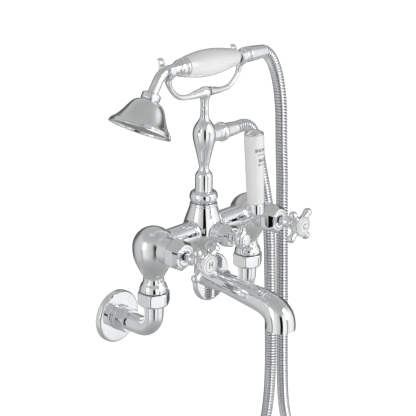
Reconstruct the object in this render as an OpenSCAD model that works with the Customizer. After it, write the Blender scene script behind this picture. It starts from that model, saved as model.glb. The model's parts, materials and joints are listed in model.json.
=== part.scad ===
// Wall mounted bath and shower mixer with a swan-neck hand shower on a cradle.
// Origin on the wall midway between the inlets. +X is right when facing the wall,
// +Y goes into the wall, +Z is up. Millimetres.

/* [Wall and inlets] */
// Distance between the two inlet centres
inlet_pitch = 180; // [170:2:200]
// Distance from the wall to the vertical axes
reach = 68.5; // [66:0.5:76]
// Radius of the inlet threads (G1/2)
inlet_r = 10.48; // [10.3:0.01:10.6]
// Length of thread that goes into the wall
inlet_len = 20; // [12:1:30]
// Radius of a wall flange
flange_r = 34; // [28:0.5:38]
// Radius of the elbow tubes
elbow_r = 11; // [10:0.5:11.5]
// Bend radius of the elbow centre line
elbow_bend = 22; // [18:1:26]

/* [Valves] */
// Height of the valve and cross tube axes
valve_z = 110; // [108:1:114]
// Radius of the round part of a pillar
bulb_r = 25; // [24:0.5:26]
// Radius of the cross tube
cross_r = 14.3; // [13:0.1:15]
// Distance from the wall to the joint between pillar and bonnet
bonnet_d = 95; // [94.5:0.5:97]
// Across flats of the valve bonnets
bonnet_af = 33; // [30:0.5:34]
// Radius of the valve spindles
spindle_r = 5; // [4:0.1:5.2]
// Distance from the wall to the middle of the cross handle arms
arms_d = 152.3; // [150:0.1:156]
// Radius at which the arm ball centres lie
arms_r = 21.5; // [18:0.5:24]
// Radius of the balls at the ends of the arms
ball_r = 5.5; // [4:0.1:6]
// Turn of the cross at rest
arms_turn = 40; // [0:1:89]

/* [Diverter] */
// Distance from the wall to the diverter nut
diverter_d = 104; // [102:0.5:106]
// Across flats of the diverter nut
diverter_af = 27.5; // [26:0.5:29]
// Length of the porcelain lever
lever_len = 84; // [70:1:90]
// Lean of the lever towards the wall
lever_lean = 3.6; // [0:0.1:5]

/* [Riser and cradle] */
// Height where the riser meets the body
riser_z = 145; // [144:0.5:146]
// Radius of the riser tube
riser_r = 11; // [9:0.1:12]
// Height of the top of the riser
riser_top = 265.7; // [262:0.1:268]
// Height of the hose outlet
outlet_z = 228.5; // [226:0.5:231]
// Height of the handset axis in the cradle
handset_z = 319; // [316:1:322]
// Distance of each fork from the riser axis
fork_x = 65; // [64:0.5:66]

/* [Handset] */
// Tilt of the spray axis from vertical
rose_tilt = 28; // [26:1:30]
// Radius of the rose at its rim
rose_r = 39; // [35:0.5:42]
// Height of the rose bell
rose_h = 34.5; // [32:0.5:36]
// Radius of the spray holes
spray_hole_r = 0.9; // [0.6:0.1:1.2]

/* [Spout and hose] */
// Distance from the wall to the spout outlet
spout_d = 194; // [185:1:205]
// Height of the spout outlet
spout_z = 12; // [8:1:16]
// Radius of the spout at its outlet
spout_r = 17.2; // [16:0.2:18]
// Outside radius of the hose
hose_r = 7.25; // [6.5:0.05:7.5]

/* [Hidden] */
$fn = 64;

function side_names(side) = [for (part = ["wall_connector", "wall_flange", "wall_nut", "elbow",
    "union_nut", "pillar", "bonnet", "cartridge", "spindle", "moving_disc",
    "cross_handle", "index_button", "handle_screw"]) str(side, part)];

inlet_x = inlet_pitch / 2;
slip = 0.05;            // radial clearance of a shaft in its bore
seam = 0.05;            // step between a bend and the straight next to it
water_r = 7;            // waterway through the threads and nuts
union_z = 52.9;         // joint between the pillar and its union nut
column_z = 60;          // joint between the body and the spout
spout_top = column_z - 0.8;
spout_root_z = 49;      // where the spout turns away from the wall
spout_fall = 3.8;       // slope of the spout below level
spout_bend = (spout_root_z - spout_z - (spout_d - reach) * tan(spout_fall))
    / (cos(spout_fall) - tan(spout_fall) * (1 - sin(spout_fall)));
spout_run = (spout_d - reach - spout_bend * (1 - sin(spout_fall))) / cos(spout_fall);
boss_x = 30;            // end of each cross tube socket, from its body's axis
socket_r = 11;          // spigots at the ends of the cross tubes
lever_d = 151.3;        // lever axis at the foot of the porcelain
lever_z = 161.5;        // foot of the porcelain
rose_x = -111.4;        // centre of the rose rim
rose_z = 257.9;
neck_bend_x = -62;      // where the handset neck starts to bend
neck_bend = 24;         // bend radius of the neck
neck_r = 6.2;
grip_x0 = -36;          // ends of the porcelain grip
grip_x1 = 54.5;
tail_x = 78;            // joint between the handset tail and the hose nut
hose_start_x = 63;      // end of the nut on the riser outlet
hose_end_x = 112.8;     // end of the nut on the handset

CHROME = "silver";
BRASS = "goldenrod";
RUBBER = "dimgray";
PORCELAIN = "ivory";

// Hose centre line in the plane of the riser, from the riser outlet to the handset: [x, z]
HOSE = [[hose_start_x, outlet_z], [80, 228], [88, 224], [96, 215], [102, 202], [107, 186],
    [112, 169], [118, 149], [124, 129], [130, 106], [134, 82], [137, 56], [139, 28], [141, -2],
    [143, -36], [145, -72], [147, -108], [148, -144], [147, -180], [142, -214], [133, -246],
    [121, -276], [109, -305], [101, -333], [101, -362], [110, -389], [127, -410], [149, -421],
    [173, -421], [195, -410], [212, -389], [221, -362], [221, -333], [213, -305], [203, -276],
    [193, -246], [184, -214], [179, -180], [176, -144], [174, -108], [172, -72], [170, -36],
    [168, 0], [166, 36], [164, 72], [162, 108], [160, 144], [157, 180], [155, 210], [153, 236],
    [149, 260], [143, 281], [135, 298], [125, 311], [hose_end_x, handset_z]];

// ---------- placing ----------

// Children's +Z points out of the wall, along the axis through x, z.
module out_of_wall(x, z) {
    translate([x, 0, z]) rotate([90, 0, 0]) children();
}

// Children's +Z runs up the vertical axis at x.
module upright(x) {
    translate([x, -reach, 0]) children();
}

// Children's +Z runs along +X at height z in the plane of the riser.
module along_x(z) {
    translate([0, -reach, z]) rotate([0, 90, 0]) children();
}

// Children's +Z runs from the rose rim back up to its neck.
module on_rose() {
    translate([rose_x, -reach, rose_z]) rotate([0, rose_tilt, 0]) children();
}

// Children's +Z runs up the lever from the foot of the porcelain.
module on_lever() {
    translate([0, -lever_d, lever_z]) rotate([-lever_lean, 0, 0]) children();
}

// ---------- shapes ----------

module ring(outer, inner, z0, z1) {
    translate([0, 0, z0]) difference() {
        cylinder(r = outer, h = z1 - z0);
        translate([0, 0, -1]) cylinder(r = inner, h = z1 - z0 + 2);
    }
}

module rod(r, z0, z1) {
    translate([0, 0, z0]) cylinder(r = r, h = z1 - z0);
}

module cone(r0, r1, z0, z1) {
    translate([0, 0, z0]) cylinder(r1 = r0, r2 = r1, h = z1 - z0);
}

module torus(major, minor, z) {
    translate([0, 0, z]) rotate_extrude() translate([major, 0]) circle(minor);
}

// Hexagonal bar with chamfered ends.
module hex_bar(af, z0, z1, chamfer) {
    corner = af / 2 / cos(30);
    intersection() {
        translate([0, 0, z0]) cylinder(r = corner, h = z1 - z0, $fn = 6);
        union() {
            cone(corner - chamfer, corner + 0.2, z0, z0 + chamfer);
            rod(corner + 0.2, z0 + chamfer, z1 - chamfer);
            cone(corner + 0.2, corner - chamfer, z1 - chamfer, z1);
        }
    }
}

// Round solid that passes through the stations [radius, z].
module lathe(stations) {
    last = len(stations) - 1;
    rotate_extrude() polygon(concat([[0, stations[0][1]]], stations, [[0, stations[last][1]]]));
}

// Rod that starts up +Z. Each leg is [straight length, bend radius, turn towards +X].
// The straight stretches are a seam thinner than the bends and run a little way into them.
module bent_rod(r, legs, leg = 0) {
    length = legs[leg][0];
    bend = legs[leg][1];
    turn = legs[leg][2];
    side = turn < 0 ? 180 : 0;
    before = leg == 0 ? 0 : 0.5;
    after = turn == 0 ? 0 : 0.5;
    if (length > 0) translate([0, 0, -before]) cylinder(r = r - seam, h = length + before + after);
    if (turn != 0) translate([0, 0, length]) rotate([0, 0, side]) translate([bend, 0, 0]) {
        rotate([90, 0, 180]) rotate_extrude(angle = abs(turn)) translate([bend, 0]) circle(r);
        if (leg < len(legs) - 1) rotate([0, abs(turn), 0]) translate([-bend, 0, 0])
            rotate([0, 0, side]) bent_rod(r, legs, leg + 1);
    }
}

// ---------- wall side ----------

module wall_connector(x) {
    color(BRASS) out_of_wall(x, 0) difference() {
        union() {
            rod(inlet_r, -inlet_len, 0);
            rod(inlet_r - 0.4, -0.5, 9.6);
            rod(16.4, 9.6, 13.8);
            rod(13, 13.8, 21);
        }
        rod(water_r, -inlet_len - 1, 22);
    }
}

module wall_flange(x) {
    color(CHROME) out_of_wall(x, 0) difference() {
        lathe([[flange_r, 0], [flange_r, 5.6], [flange_r - 2.5, 8.4], [flange_r - 8, 9.2], [16, 9.5]]);
        cone(flange_r - 2, flange_r - 6, -0.1, 7);
        rod(inlet_r + 0.3, -1, 10);
    }
}

module wall_nut(x) {
    color(CHROME) out_of_wall(x, 0) difference() {
        hex_bar(29, 14, 29.5, 1.5);
        rod(13 + slip, 13, 24.5);
        rod(elbow_r + slip, 24, 30);
    }
}

module inlet_washers() {
    color(RUBBER) for (x = [-inlet_x, inlet_x]) {
        out_of_wall(x, 0) ring(12.6, water_r, 21, 22.5);
        upright(x) ring(14.9, water_r + 1, 42, 43.5);
    }
}

module elbow_path(r, start, top, x) {
    out_of_wall(x, 0) translate([0, 0, start]) rotate([0, 0, 90])
        bent_rod(r, [[reach - elbow_bend - start, elbow_bend, 90], [top - elbow_bend, 0, 0]]);
}

module elbow(x) {
    color(CHROME) difference() {
        union() {
            elbow_path(elbow_r, 22.5, 42, x);
            out_of_wall(x, 0) rod(12.7, 22.5, 24.3);
            upright(x) rod(14.9, 40.2, 42);
        }
        elbow_path(elbow_r - 2.5, 22, 43, x);
    }
}

module union_nut(x) {
    color(CHROME) upright(x) difference() {
        hex_bar(36.4, 34, 52.5, 2);
        rod(15.2 + slip, 40, 53);
        rod(elbow_r + slip, 33, 41);
    }
}

// ---------- pillars and valves ----------

module pillar(x) {
    towards_centre = x > 0 ? -90 : 90;
    color(CHROME) difference() {
        union() {
            upright(x) {
                rod(15.2, 43.5, union_z);
                lathe([[17.4, union_z], [17.4, 56], [16.1, 60.4], [12.8, 65.8], [13.1, 72.4],
                    [16.1, 77.7], [19.3, 84.3], [22.1, 91], [24.2, 98]]);
                translate([0, 0, valve_z]) sphere(bulb_r);
            }
            out_of_wall(x, valve_z) rod(15.8, 80, bonnet_d);
            upright(x) translate([0, 0, valve_z]) rotate([0, towards_centre, 0]) rod(cross_r, 10, boss_x);
        }
        upright(x) {
            rod(water_r + 1, 43, valve_z);
            translate([0, 0, valve_z]) sphere(bulb_r - 5);
        }
        out_of_wall(x, valve_z) rod(11, reach, bonnet_d + 1);
        upright(x) translate([0, 0, valve_z]) rotate([0, towards_centre, 0]) rod(socket_r + slip, 10, boss_x + 1);
    }
}

module cross_tubes() {
    half = inlet_x / 2 - boss_x;
    color(CHROME) for (x = [-inlet_x / 2, inlet_x / 2]) upright(x)
    translate([0, 0, valve_z]) rotate([0, 90, 0]) difference() {
        union() {
            rod(cross_r, -half, half);
            rod(socket_r, -half - 8, half + 8);
        }
        rod(9, -half - 9, half + 9);
    }
}

// Screwed-in valve body: start is its inner end, seat its flange, both from the wall.
module headwork(r, start, seat, nose_r, nose_end) {
    difference() {
        union() {
            rod(r, start, seat);
            rod(r + 2.6, seat, seat + 2);
            rod(nose_r, seat, nose_end);
        }
        rod(8, start - 1, start + 8);
        rod(spindle_r + slip, start, nose_end + 1);
        ring(r + 1, r - 1.6, seat - 5, seat - 2.8);
    }
}

module cartridge(x) {
    color(BRASS) out_of_wall(x, valve_z) headwork(10.9, bonnet_d - 18.5, bonnet_d, 8.5, bonnet_d + 18);
}

module fixed_discs() {
    color("white") for (x = [-inlet_x, inlet_x])
        out_of_wall(x, valve_z) ported_disc(7.9, bonnet_d - 18.3, 2.6, 0);
}

module ported_disc(r, z, thickness, turn) {
    difference() {
        rod(r, z, z + thickness);
        for (side = [0, 180])
            rotate([0, 0, turn + side]) translate([4.4, 0, 0]) rod(2, z - 1, z + thickness + 1);
    }
}

module moving_disc(x) {
    color("white") out_of_wall(x, valve_z) ported_disc(7.5, bonnet_d - 15.4, 2.6, 90);
}

module o_rings() {
    color(RUBBER) {
        for (x = [-inlet_x, inlet_x]) out_of_wall(x, valve_z) torus(10.1, 0.75, bonnet_d - 3.9);
        out_of_wall(0, valve_z) torus(9.5, 0.75, diverter_d - 3.9);
        upright(0) ring(10.8, 9 + slip, spout_top + 0.05, column_z - 0.05);
    }
}

module bonnet(x) {
    front = bonnet_d + 17;
    color(CHROME) out_of_wall(x, valve_z) difference() {
        union() {
            intersection() {
                hex_bar(bonnet_af, bonnet_d, front, 1.5);
                lathe([[30, bonnet_d], [30, front - 6], [12, front]]);
            }
            rod(11.3, front - 3, front + 10);
            cone(11.3, 9.4, front + 10, front + 11.6);
        }
        rod(13.6, bonnet_d - 1, bonnet_d + 2.1);
        rod(8.6, bonnet_d, front + 1.1);
        rod(spindle_r + 0.6, front, front + 12);
    }
}

module spindle(x) {
    color(BRASS) out_of_wall(x, valve_z) difference() {
        union() {
            rod(spindle_r, bonnet_d - 12.8, 127.6);
            rod(4, 127.6, 142);
        }
        rod(2 + slip, 130, 143);
    }
}

module cross_handle(x) {
    front = arms_d + 6;
    color(CHROME) out_of_wall(x, valve_z) difference() {
        union() {
            lathe([[7.4, 128], [7.8, 131], [7, 134.5], [7.2, 139], [9.2, 144], [10.6, 148],
                [11, arms_d + 1], [13.4, arms_d + 3], [13.6, front - 1], [13, front]]);
            for (quarter = [0 : 90 : 270])
                rotate([0, 0, arms_turn + quarter]) translate([0, 0, arms_d - 1]) rotate([0, 90, 0]) {
                    cone(5, 3.9, 5, arms_r - 2);
                    translate([0, 0, arms_r]) sphere(ball_r);
                }
        }
        rod(4 + slip, 125, 142 + slip);
        rod(2.4, 140, 160);
        rod(4.2, 149, 160);
        rod(11.9, front - 2, front + 1);
    }
}

module handle_screw(x) {
    color(CHROME) out_of_wall(x, valve_z) {
        rod(2, 132, 149);
        rod(4, 149, 152);
    }
}

module index_button(x) {
    front = arms_d + 4;
    color(PORCELAIN) out_of_wall(x, valve_z) {
        rod(11.8, front, front + 2);
        cone(11.8, 9.8, front + 2, front + 3.6);
    }
}

// ---------- body and spout ----------

module centre_body() {
    color(CHROME) difference() {
        union() {
            upright(0) {
                rod(13.2, riser_z, riser_z + 5.5);
                lathe([[11, column_z], [13, column_z + 2], [14, 70], [14.6, 80], [16.4, 88], [20, 94],
                    [24, 100], [26, 108], [25.8, 114], [24.3, 120], [20.6, 131], [17.2, 141],
                    [17.4, 143.5], [16.6, riser_z]]);
            }
            along_x(valve_z) rod(cross_r, -boss_x, boss_x);
            out_of_wall(0, valve_z) rod(12.4, reach + 10, diverter_d);
        }
        upright(0) rod(8, column_z - 1, riser_z + 6);
        along_x(valve_z) {
            rod(socket_r + slip, -boss_x - 1, -boss_x + 8.2);
            rod(socket_r + slip, boss_x - 8.2, boss_x + 1);
            rod(9, -boss_x, boss_x);
        }
        out_of_wall(0, valve_z) rod(10.4, reach, diverter_d + 1);
        upright(0) rod(9 + slip, column_z - 1, column_z + 8);
    }
}

// Outline of the spout, shrunk by wall for its waterway.
module spout_form(wall) {
    upright(0) {
        rod(11 - wall, spout_root_z, spout_top + (wall > 0 ? 9 : 0));
        translate([0, 0, spout_root_z]) sphere(11 - wall);
    }
    translate([0, -reach, spout_root_z]) rotate([90 + spout_fall, 0, 0]) {
        cylinder(r1 = 10 - wall, r2 = 15 - seam - wall, h = spout_run + 0.5);
        translate([0, 0, spout_run]) rotate([0, 0, -90]) bent_rod(15 - wall, [[0, spout_bend, 90 - spout_fall]]);
    }
    translate([0, -spout_d, 0]) {
        cone(spout_r - wall, spout_r - 0.4 - wall, spout_z, spout_z + 3);
        cone(spout_r - 0.4 - wall, 15.1 - wall, spout_z + 2.99, spout_z + 8);
    }
}

module spout() {
    color(CHROME) difference() {
        union() {
            spout_form(0);
            upright(0) rod(9, spout_top, column_z + 7);
        }
        spout_form(3);
        translate([0, -spout_d, spout_z - 1]) cylinder(r = spout_r - 3.2, h = 9.5);
    }
}

module flow_straightener() {
    color("whitesmoke") translate([0, -spout_d, spout_z]) difference() {
        rod(spout_r - 3.25, 4.5, 8.5);
        for (turn = [0 : 60 : 300]) rotate([0, 0, turn]) translate([8, 0, 0]) rod(3, 4, 9);
        rod(3, 4, 9);
    }
}

// ---------- diverter ----------

module diverter_cartridge() {
    color(BRASS) out_of_wall(0, valve_z) difference() {
        headwork(10.3, diverter_d - 18.5, diverter_d, 8.2, diverter_d + 12);
        ring(14, 12, diverter_d - 1, diverter_d + 3);
    }
}

module diverter_nut() {
    front = diverter_d + 14;
    color(CHROME) out_of_wall(0, valve_z) difference() {
        union() {
            hex_bar(diverter_af, diverter_d, front, 2.4);
            cone(9, 7, front, front + 3);
        }
        rod(12 + slip, diverter_d - 1, diverter_d + 2.1);
        rod(8.3, diverter_d, front - 1.9);
        rod(spindle_r + 0.6, front - 3, front + 4);
    }
}

module diverter_spindle() {
    color(BRASS) out_of_wall(0, valve_z) difference() {
        union() {
            rod(spindle_r, diverter_d - 12.8, 123.7);
            rod(4, 123.7, 135);
        }
        rod(2 + slip, 127, 136);
    }
}

module diverter_disc() {
    color("white") out_of_wall(0, valve_z) ported_disc(7.5, diverter_d - 15.4, 2.6, 45);
}

module lever_arm() {
    arm_d = 131.8;
    color(CHROME) difference() {
        union() {
            out_of_wall(0, valve_z)
                lathe([[6.4, 124], [7, 126], [10.6, 127.5], [11.6, 130], [11.6, 135], [9, 137.5]]);
            translate([0, -arm_d, valve_z + 7]) rotate([0, 0, -90])
                bent_rod(3.9, [[8, 12, 62], [9.8, 9, -62], [4, 0, 0]]);
        }
        out_of_wall(0, valve_z) {
            rod(4 + slip, 123, 135);
            rod(2.4, 134, 139);
            rod(5.2, 136.4, 139);
        }
        on_lever() rod(12, -14.45, 5);
    }
}

module lever_cap_screw() {
    color(CHROME) out_of_wall(0, valve_z) {
        rod(2, 129, 136.4);
        rod(5, 136.4, 137.6);
        cone(9, 5.5, 137.6, 141);
    }
}

module lever_ferrule() {
    color(CHROME) on_lever() difference() {
        lathe([[8.4, -14.4], [10.1, -12.6], [10.4, -1.4], [10.4, 0]]);
        rod(3 + slip, -12, 1);
    }
}

module lever_rod() {
    color(BRASS) on_lever() rod(3, -11.9, lever_len + 2);
}

module porcelain_lever() {
    color(PORCELAIN) on_lever() difference() {
        lathe([[10.1, 0.05], [11.6, lever_len - 1.5], [11.2, lever_len]]);
        rod(3 + slip, -1, lever_len + 1);
    }
}

module lever_top() {
    color(CHROME) on_lever() difference() {
        lathe([[10.9, lever_len + 0.05], [10.9, lever_len + 1.2], [6, lever_len + 3.4], [1.5, lever_len + 4.6]]);
        rod(3 + slip, lever_len - 1, lever_len + 2.1);
    }
}

// ---------- riser and cradle ----------

module riser_nut() {
    color(CHROME) upright(0) difference() {
        lathe([[13.7, riser_z + 0.1], [15.7, riser_z + 1.3], [17.1, riser_z + 3.9], [17.6, riser_z + 7.2],
            [17.1, riser_z + 10.6], [15.7, riser_z + 13.2], [14, riser_z + 14.4]]);
        rod(13.2 + slip, riser_z - 1, riser_z + 8);
        rod(riser_r + slip, riser_z, riser_z + 16);
    }
}

module riser_washers() {
    color(RUBBER) {
        upright(0) ring(12.8, 8, riser_z + 5.5, riser_z + 7);
        along_x(outlet_z) ring(6.1, 3.5, 54.5, 55.9);
    }
}

module riser() {
    color(CHROME) difference() {
        union() {
            upright(0) {
                rod(12.8, riser_z + 7, riser_z + 8);
                lathe([[riser_r, riser_z + 7], [riser_r, 180], [9.4, 182.7], [6.6, 186], [6, 189],
                    [6.6, 195], [8.8, 206], [11.6, 218], [13.4, 227], [13.6, 232], [12.6, 238],
                    [9, 246], [6, 250.5], [5.1, 254], [5.1, riser_top]]);
            }
            along_x(outlet_z) rod(9, 5, 23);
        }
        upright(0) {
            rod(7.6, riser_z + 6, 181);
            rod(3.6, 180, outlet_z + 4);
            rod(3 + slip, riser_top - 18, riser_top + 1);
        }
        along_x(outlet_z) rod(5, 0, 24);
    }
}

module hose_outlet() {
    color(CHROME) along_x(outlet_z) difference() {
        lathe([[11.4, 23], [12, 24.5], [12, 27.5], [10, 29.5], [10, 42], [11.8, 44], [12, 50], [10.6, 53]]);
        rod(5, 22, 54);
    }
}

module fork(x) {
    translate([x, -reach, handset_z]) rotate([0, 90, 0]) difference() {
        union() {
            rod(11.2, -4, 4);
            translate([-13, -11.2, -4]) cube([13, 22.4, 8]);
        }
        rod(8, -5, 5);
        translate([-14, -8, -5]) cube([14, 16, 10]);
        translate([-14, -12, -5]) cube([8, 12, 10]);
    }
}

module cradle() {
    bar_z = 282.6;
    color(CHROME) {
        upright(0) {
            rod(3, riser_top - 17.5, riser_top + 1);
            lathe([[5.1, riser_top + 0.3], [5.1, 270], [5.8, 274], [7.6, 279], [7.8, 284], [5, 288.5], [2, 289.6]]);
        }
        for (side = [-1, 1]) {
            translate([0, -reach, bar_z]) rotate([0, side * 90, 0]) cone(6.5, 3, 0, 30);
            translate([side * 28, -reach, bar_z]) rotate([0, side * 90, 0])
                bent_rod(2.9, [[16, 18, side * -72], [14.5, 0, 0]]);
            fork(side * fork_x);
        }
    }
}

// ---------- handset ----------

// Bent tube from the bend start to the joint with the rose.
module neck_path(r) {
    bend_turn = 90 - rose_tilt;
    translate([neck_bend_x, -reach, handset_z - neck_bend]) rotate([90, 0, 0])
        rotate([0, 0, 90]) rotate_extrude(angle = bend_turn) translate([neck_bend, 0]) circle(r);
    on_rose() rod(r, rose_h + 3.6, rose_h + 22);
}

module handset_neck() {
    color(CHROME) difference() {
        union() {
            neck_path(neck_r);
            along_x(handset_z)
                lathe([[neck_r, neck_bend_x], [6.4, -57], [7.2, -53], [9.2, -48], [10.5, -45], [10.6, -40.8],
                    [11.6, -39.6], [11.6, grip_x0]]);
            on_rose() rod(8.8, rose_h + 3.6, rose_h + 5.2);
        }
        neck_path(neck_r - 2);
        along_x(handset_z) {
            rod(neck_r - 2, neck_bend_x - 1, -48);
            rod(5.5 + slip, -49.5, grip_x0 + 1);
        }
    }
}

module rose_nut() {
    color(CHROME) on_rose() difference() {
        lathe([[10, rose_h], [11, rose_h + 1], [11, rose_h + 8.4], [9, rose_h + 9.6]]);
        rod(9.4 + slip, rose_h - 1, rose_h + 5.4);
        rod(neck_r + slip, rose_h, rose_h + 11);
    }
}

module handset_washers() {
    color(RUBBER) {
        on_rose() ring(8.8, 4.5, rose_h + 2.4, rose_h + 3.6);
        along_x(handset_z) ring(6.1, 3.5, tail_x + 9.1, tail_x + 10.5);
    }
}

module rose_bell() {
    color(CHROME) on_rose() difference() {
        union() {
            lathe([[rose_r - 0.8, 0], [rose_r, 1.2], [rose_r - 0.6, 2.6], [34, 6.2], [29.6, 10], [25.6, 15],
                [22, 21], [18.8, 27], [15.6, 31.5], [12, 33.8], [9, rose_h]]);
            rod(9.4, rose_h - 1, rose_h + 2.4);
        }
        rod(rose_r - 2.4, -1, 2.8);
        lathe([[30.5, 2.7], [27, 9], [22.6, 16], [18, 23], [13.4, 29], [7, 31.5]]);
        rod(4.5, 20, rose_h + 3);
    }
}

module spray_plate() {
    rings = [[1, 0], [6, 7], [12, 14], [18, 21], [24, 28]];
    color(CHROME) on_rose() difference() {
        rod(rose_r - 2.5, 0.5, 2.7);
        for (row = rings) for (i = [0 : row[0] - 1])
            rotate([0, 0, 360 * i / row[0]]) translate([row[1], 0, 0]) rod(spray_hole_r, 0, 3);
    }
}

module grip_tube() {
    color(BRASS) along_x(handset_z) ring(5.5, 4.2, -47.5, 66);
}

module porcelain_grip() {
    steps = 12;
    function grip_r(t) = 12 - 1.5 * t + 5.1 * sin(180 * pow(t, 0.9));
    color(PORCELAIN) along_x(handset_z) difference() {
        lathe([for (i = [0 : steps]) [grip_r(i / steps), grip_x0 + 0.05 + (grip_x1 - grip_x0 - 0.1) * i / steps]]);
        rod(5.5 + slip, grip_x0 - 1, grip_x1 + 1);
    }
}

module handset_tail() {
    color(CHROME) along_x(handset_z) difference() {
        union() {
            lathe([[9.3, grip_x1], [9.3, grip_x1 + 1.6], [6.8, grip_x1 + 2.4], [6.8, 69.5], [9.2, 71],
                [9.6, 73.5], [8.8, tail_x - 2], [8.8, tail_x]]);
            rod(6.2, tail_x, tail_x + 9);
        }
        rod(5.5 + slip, grip_x1 - 1, 66.2);
        rod(4.2, 60, tail_x + 10);
    }
}

// ---------- hose ----------

module handset_hose_nut() {
    color(CHROME) along_x(handset_z) difference() {
        lathe([[9.3, tail_x + 0.3], [9.9, tail_x + 1.8], [9.6, tail_x + 9], [8, hose_end_x]]);
        rod(6.2 + slip, tail_x, tail_x + 10.6);
        rod(3.5, tail_x, hose_end_x + 1);
    }
}

module riser_hose_nut() {
    color(CHROME) along_x(outlet_z) difference() {
        lathe([[8.8, 53.1], [9.4, 54.5], [9, 58.5], [8, hose_start_x]]);
        rod(3.5, 53, hose_start_x + 1);
        rod(6.2, 52, 56);
    }
}

// Point at t on the smooth curve through p1 and p2.
function curve_point(p0, p1, p2, p3, t) = 0.5 * (2 * p1 + (p2 - p0) * t
    + (2 * p0 - 5 * p1 + 4 * p2 - p3) * t * t + (3 * p1 - 3 * p2 + p3 - p0) * t * t * t);

module hose() {
    sides = 10;
    last = len(HOSE) - 1;
    spine = concat([HOSE[0]], [for (i = [0 : last - 1]) for (t = (i < 8 || i > last - 9) ? [0.5, 1] : [1])
        curve_point(HOSE[max(i - 1, 0)], HOSE[i], HOSE[i + 1], HOSE[min(i + 2, last)], t)]);
    count = len(spine);
    function heading(i) = i == 0 ? [1, 0] : i == count - 1 ? [-1, 0]
        : (spine[i + 1] - spine[i - 1]) / norm(spine[i + 1] - spine[i - 1]);
    function rim(i, j) = let (h = heading(i), turn = 360 * j / sides, reach_out = hose_r * cos(turn))
        [spine[i][0] + h[1] * reach_out, -reach + hose_r * sin(turn), spine[i][1] - h[0] * reach_out];
    points = [for (i = [0 : count - 1]) for (j = [0 : sides - 1]) rim(i, j)];
    walls = [for (i = [0 : count - 2]) for (j = [0 : sides - 1]) let (k = (j + 1) % sides)
        [i * sides + j, i * sides + k, (i + 1) * sides + k, (i + 1) * sides + j]];
    ends = [[for (j = [sides - 1 : -1 : 0]) j], [for (j = [0 : sides - 1]) (count - 1) * sides + j]];
    color(CHROME) polyhedron(points, concat(walls, ends));
}

// ---------- nodes ----------

wall_connector(-inlet_x);  // hot_wall_connector
wall_flange(-inlet_x);  // hot_wall_flange
wall_nut(-inlet_x);  // hot_wall_nut
elbow(-inlet_x);  // hot_elbow
union_nut(-inlet_x);  // hot_union_nut
pillar(-inlet_x);  // hot_pillar
bonnet(-inlet_x);  // hot_bonnet
cartridge(-inlet_x);  // hot_cartridge
spindle(-inlet_x);  // hot_spindle
moving_disc(-inlet_x);  // hot_moving_disc
cross_handle(-inlet_x);  // hot_cross_handle
index_button(-inlet_x);  // hot_index_button
handle_screw(-inlet_x);  // hot_handle_screw
wall_connector(inlet_x);  // cold_wall_connector
wall_flange(inlet_x);  // cold_wall_flange
wall_nut(inlet_x);  // cold_wall_nut
elbow(inlet_x);  // cold_elbow
union_nut(inlet_x);  // cold_union_nut
pillar(inlet_x);  // cold_pillar
bonnet(inlet_x);  // cold_bonnet
cartridge(inlet_x);  // cold_cartridge
spindle(inlet_x);  // cold_spindle
moving_disc(inlet_x);  // cold_moving_disc
cross_handle(inlet_x);  // cold_cross_handle
index_button(inlet_x);  // cold_index_button
handle_screw(inlet_x);  // cold_handle_screw
inlet_washers();
fixed_discs();
o_rings();
cross_tubes();
centre_body();
diverter_nut();
diverter_cartridge();
diverter_spindle();
diverter_disc();
lever_arm();
lever_cap_screw();
lever_ferrule();
lever_rod();
porcelain_lever();
lever_top();
riser_nut();
riser_washers();
riser();
hose_outlet();
cradle();
spout();
flow_straightener();
handset_neck();
rose_nut();
handset_washers();
rose_bell();
spray_plate();
grip_tube();
porcelain_grip();
handset_tail();
handset_hose_nut();
riser_hose_nut();
hose();
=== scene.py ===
"""Looks of the wall mounted bath and shower mixer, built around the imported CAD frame.

Shapes are written in millimetres in the row frame (+X right, +Y into the wall, +Z up)
and become metres when a mesh is made.
"""

import json
from math import atan2, cos, pi, radians, sin

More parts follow.
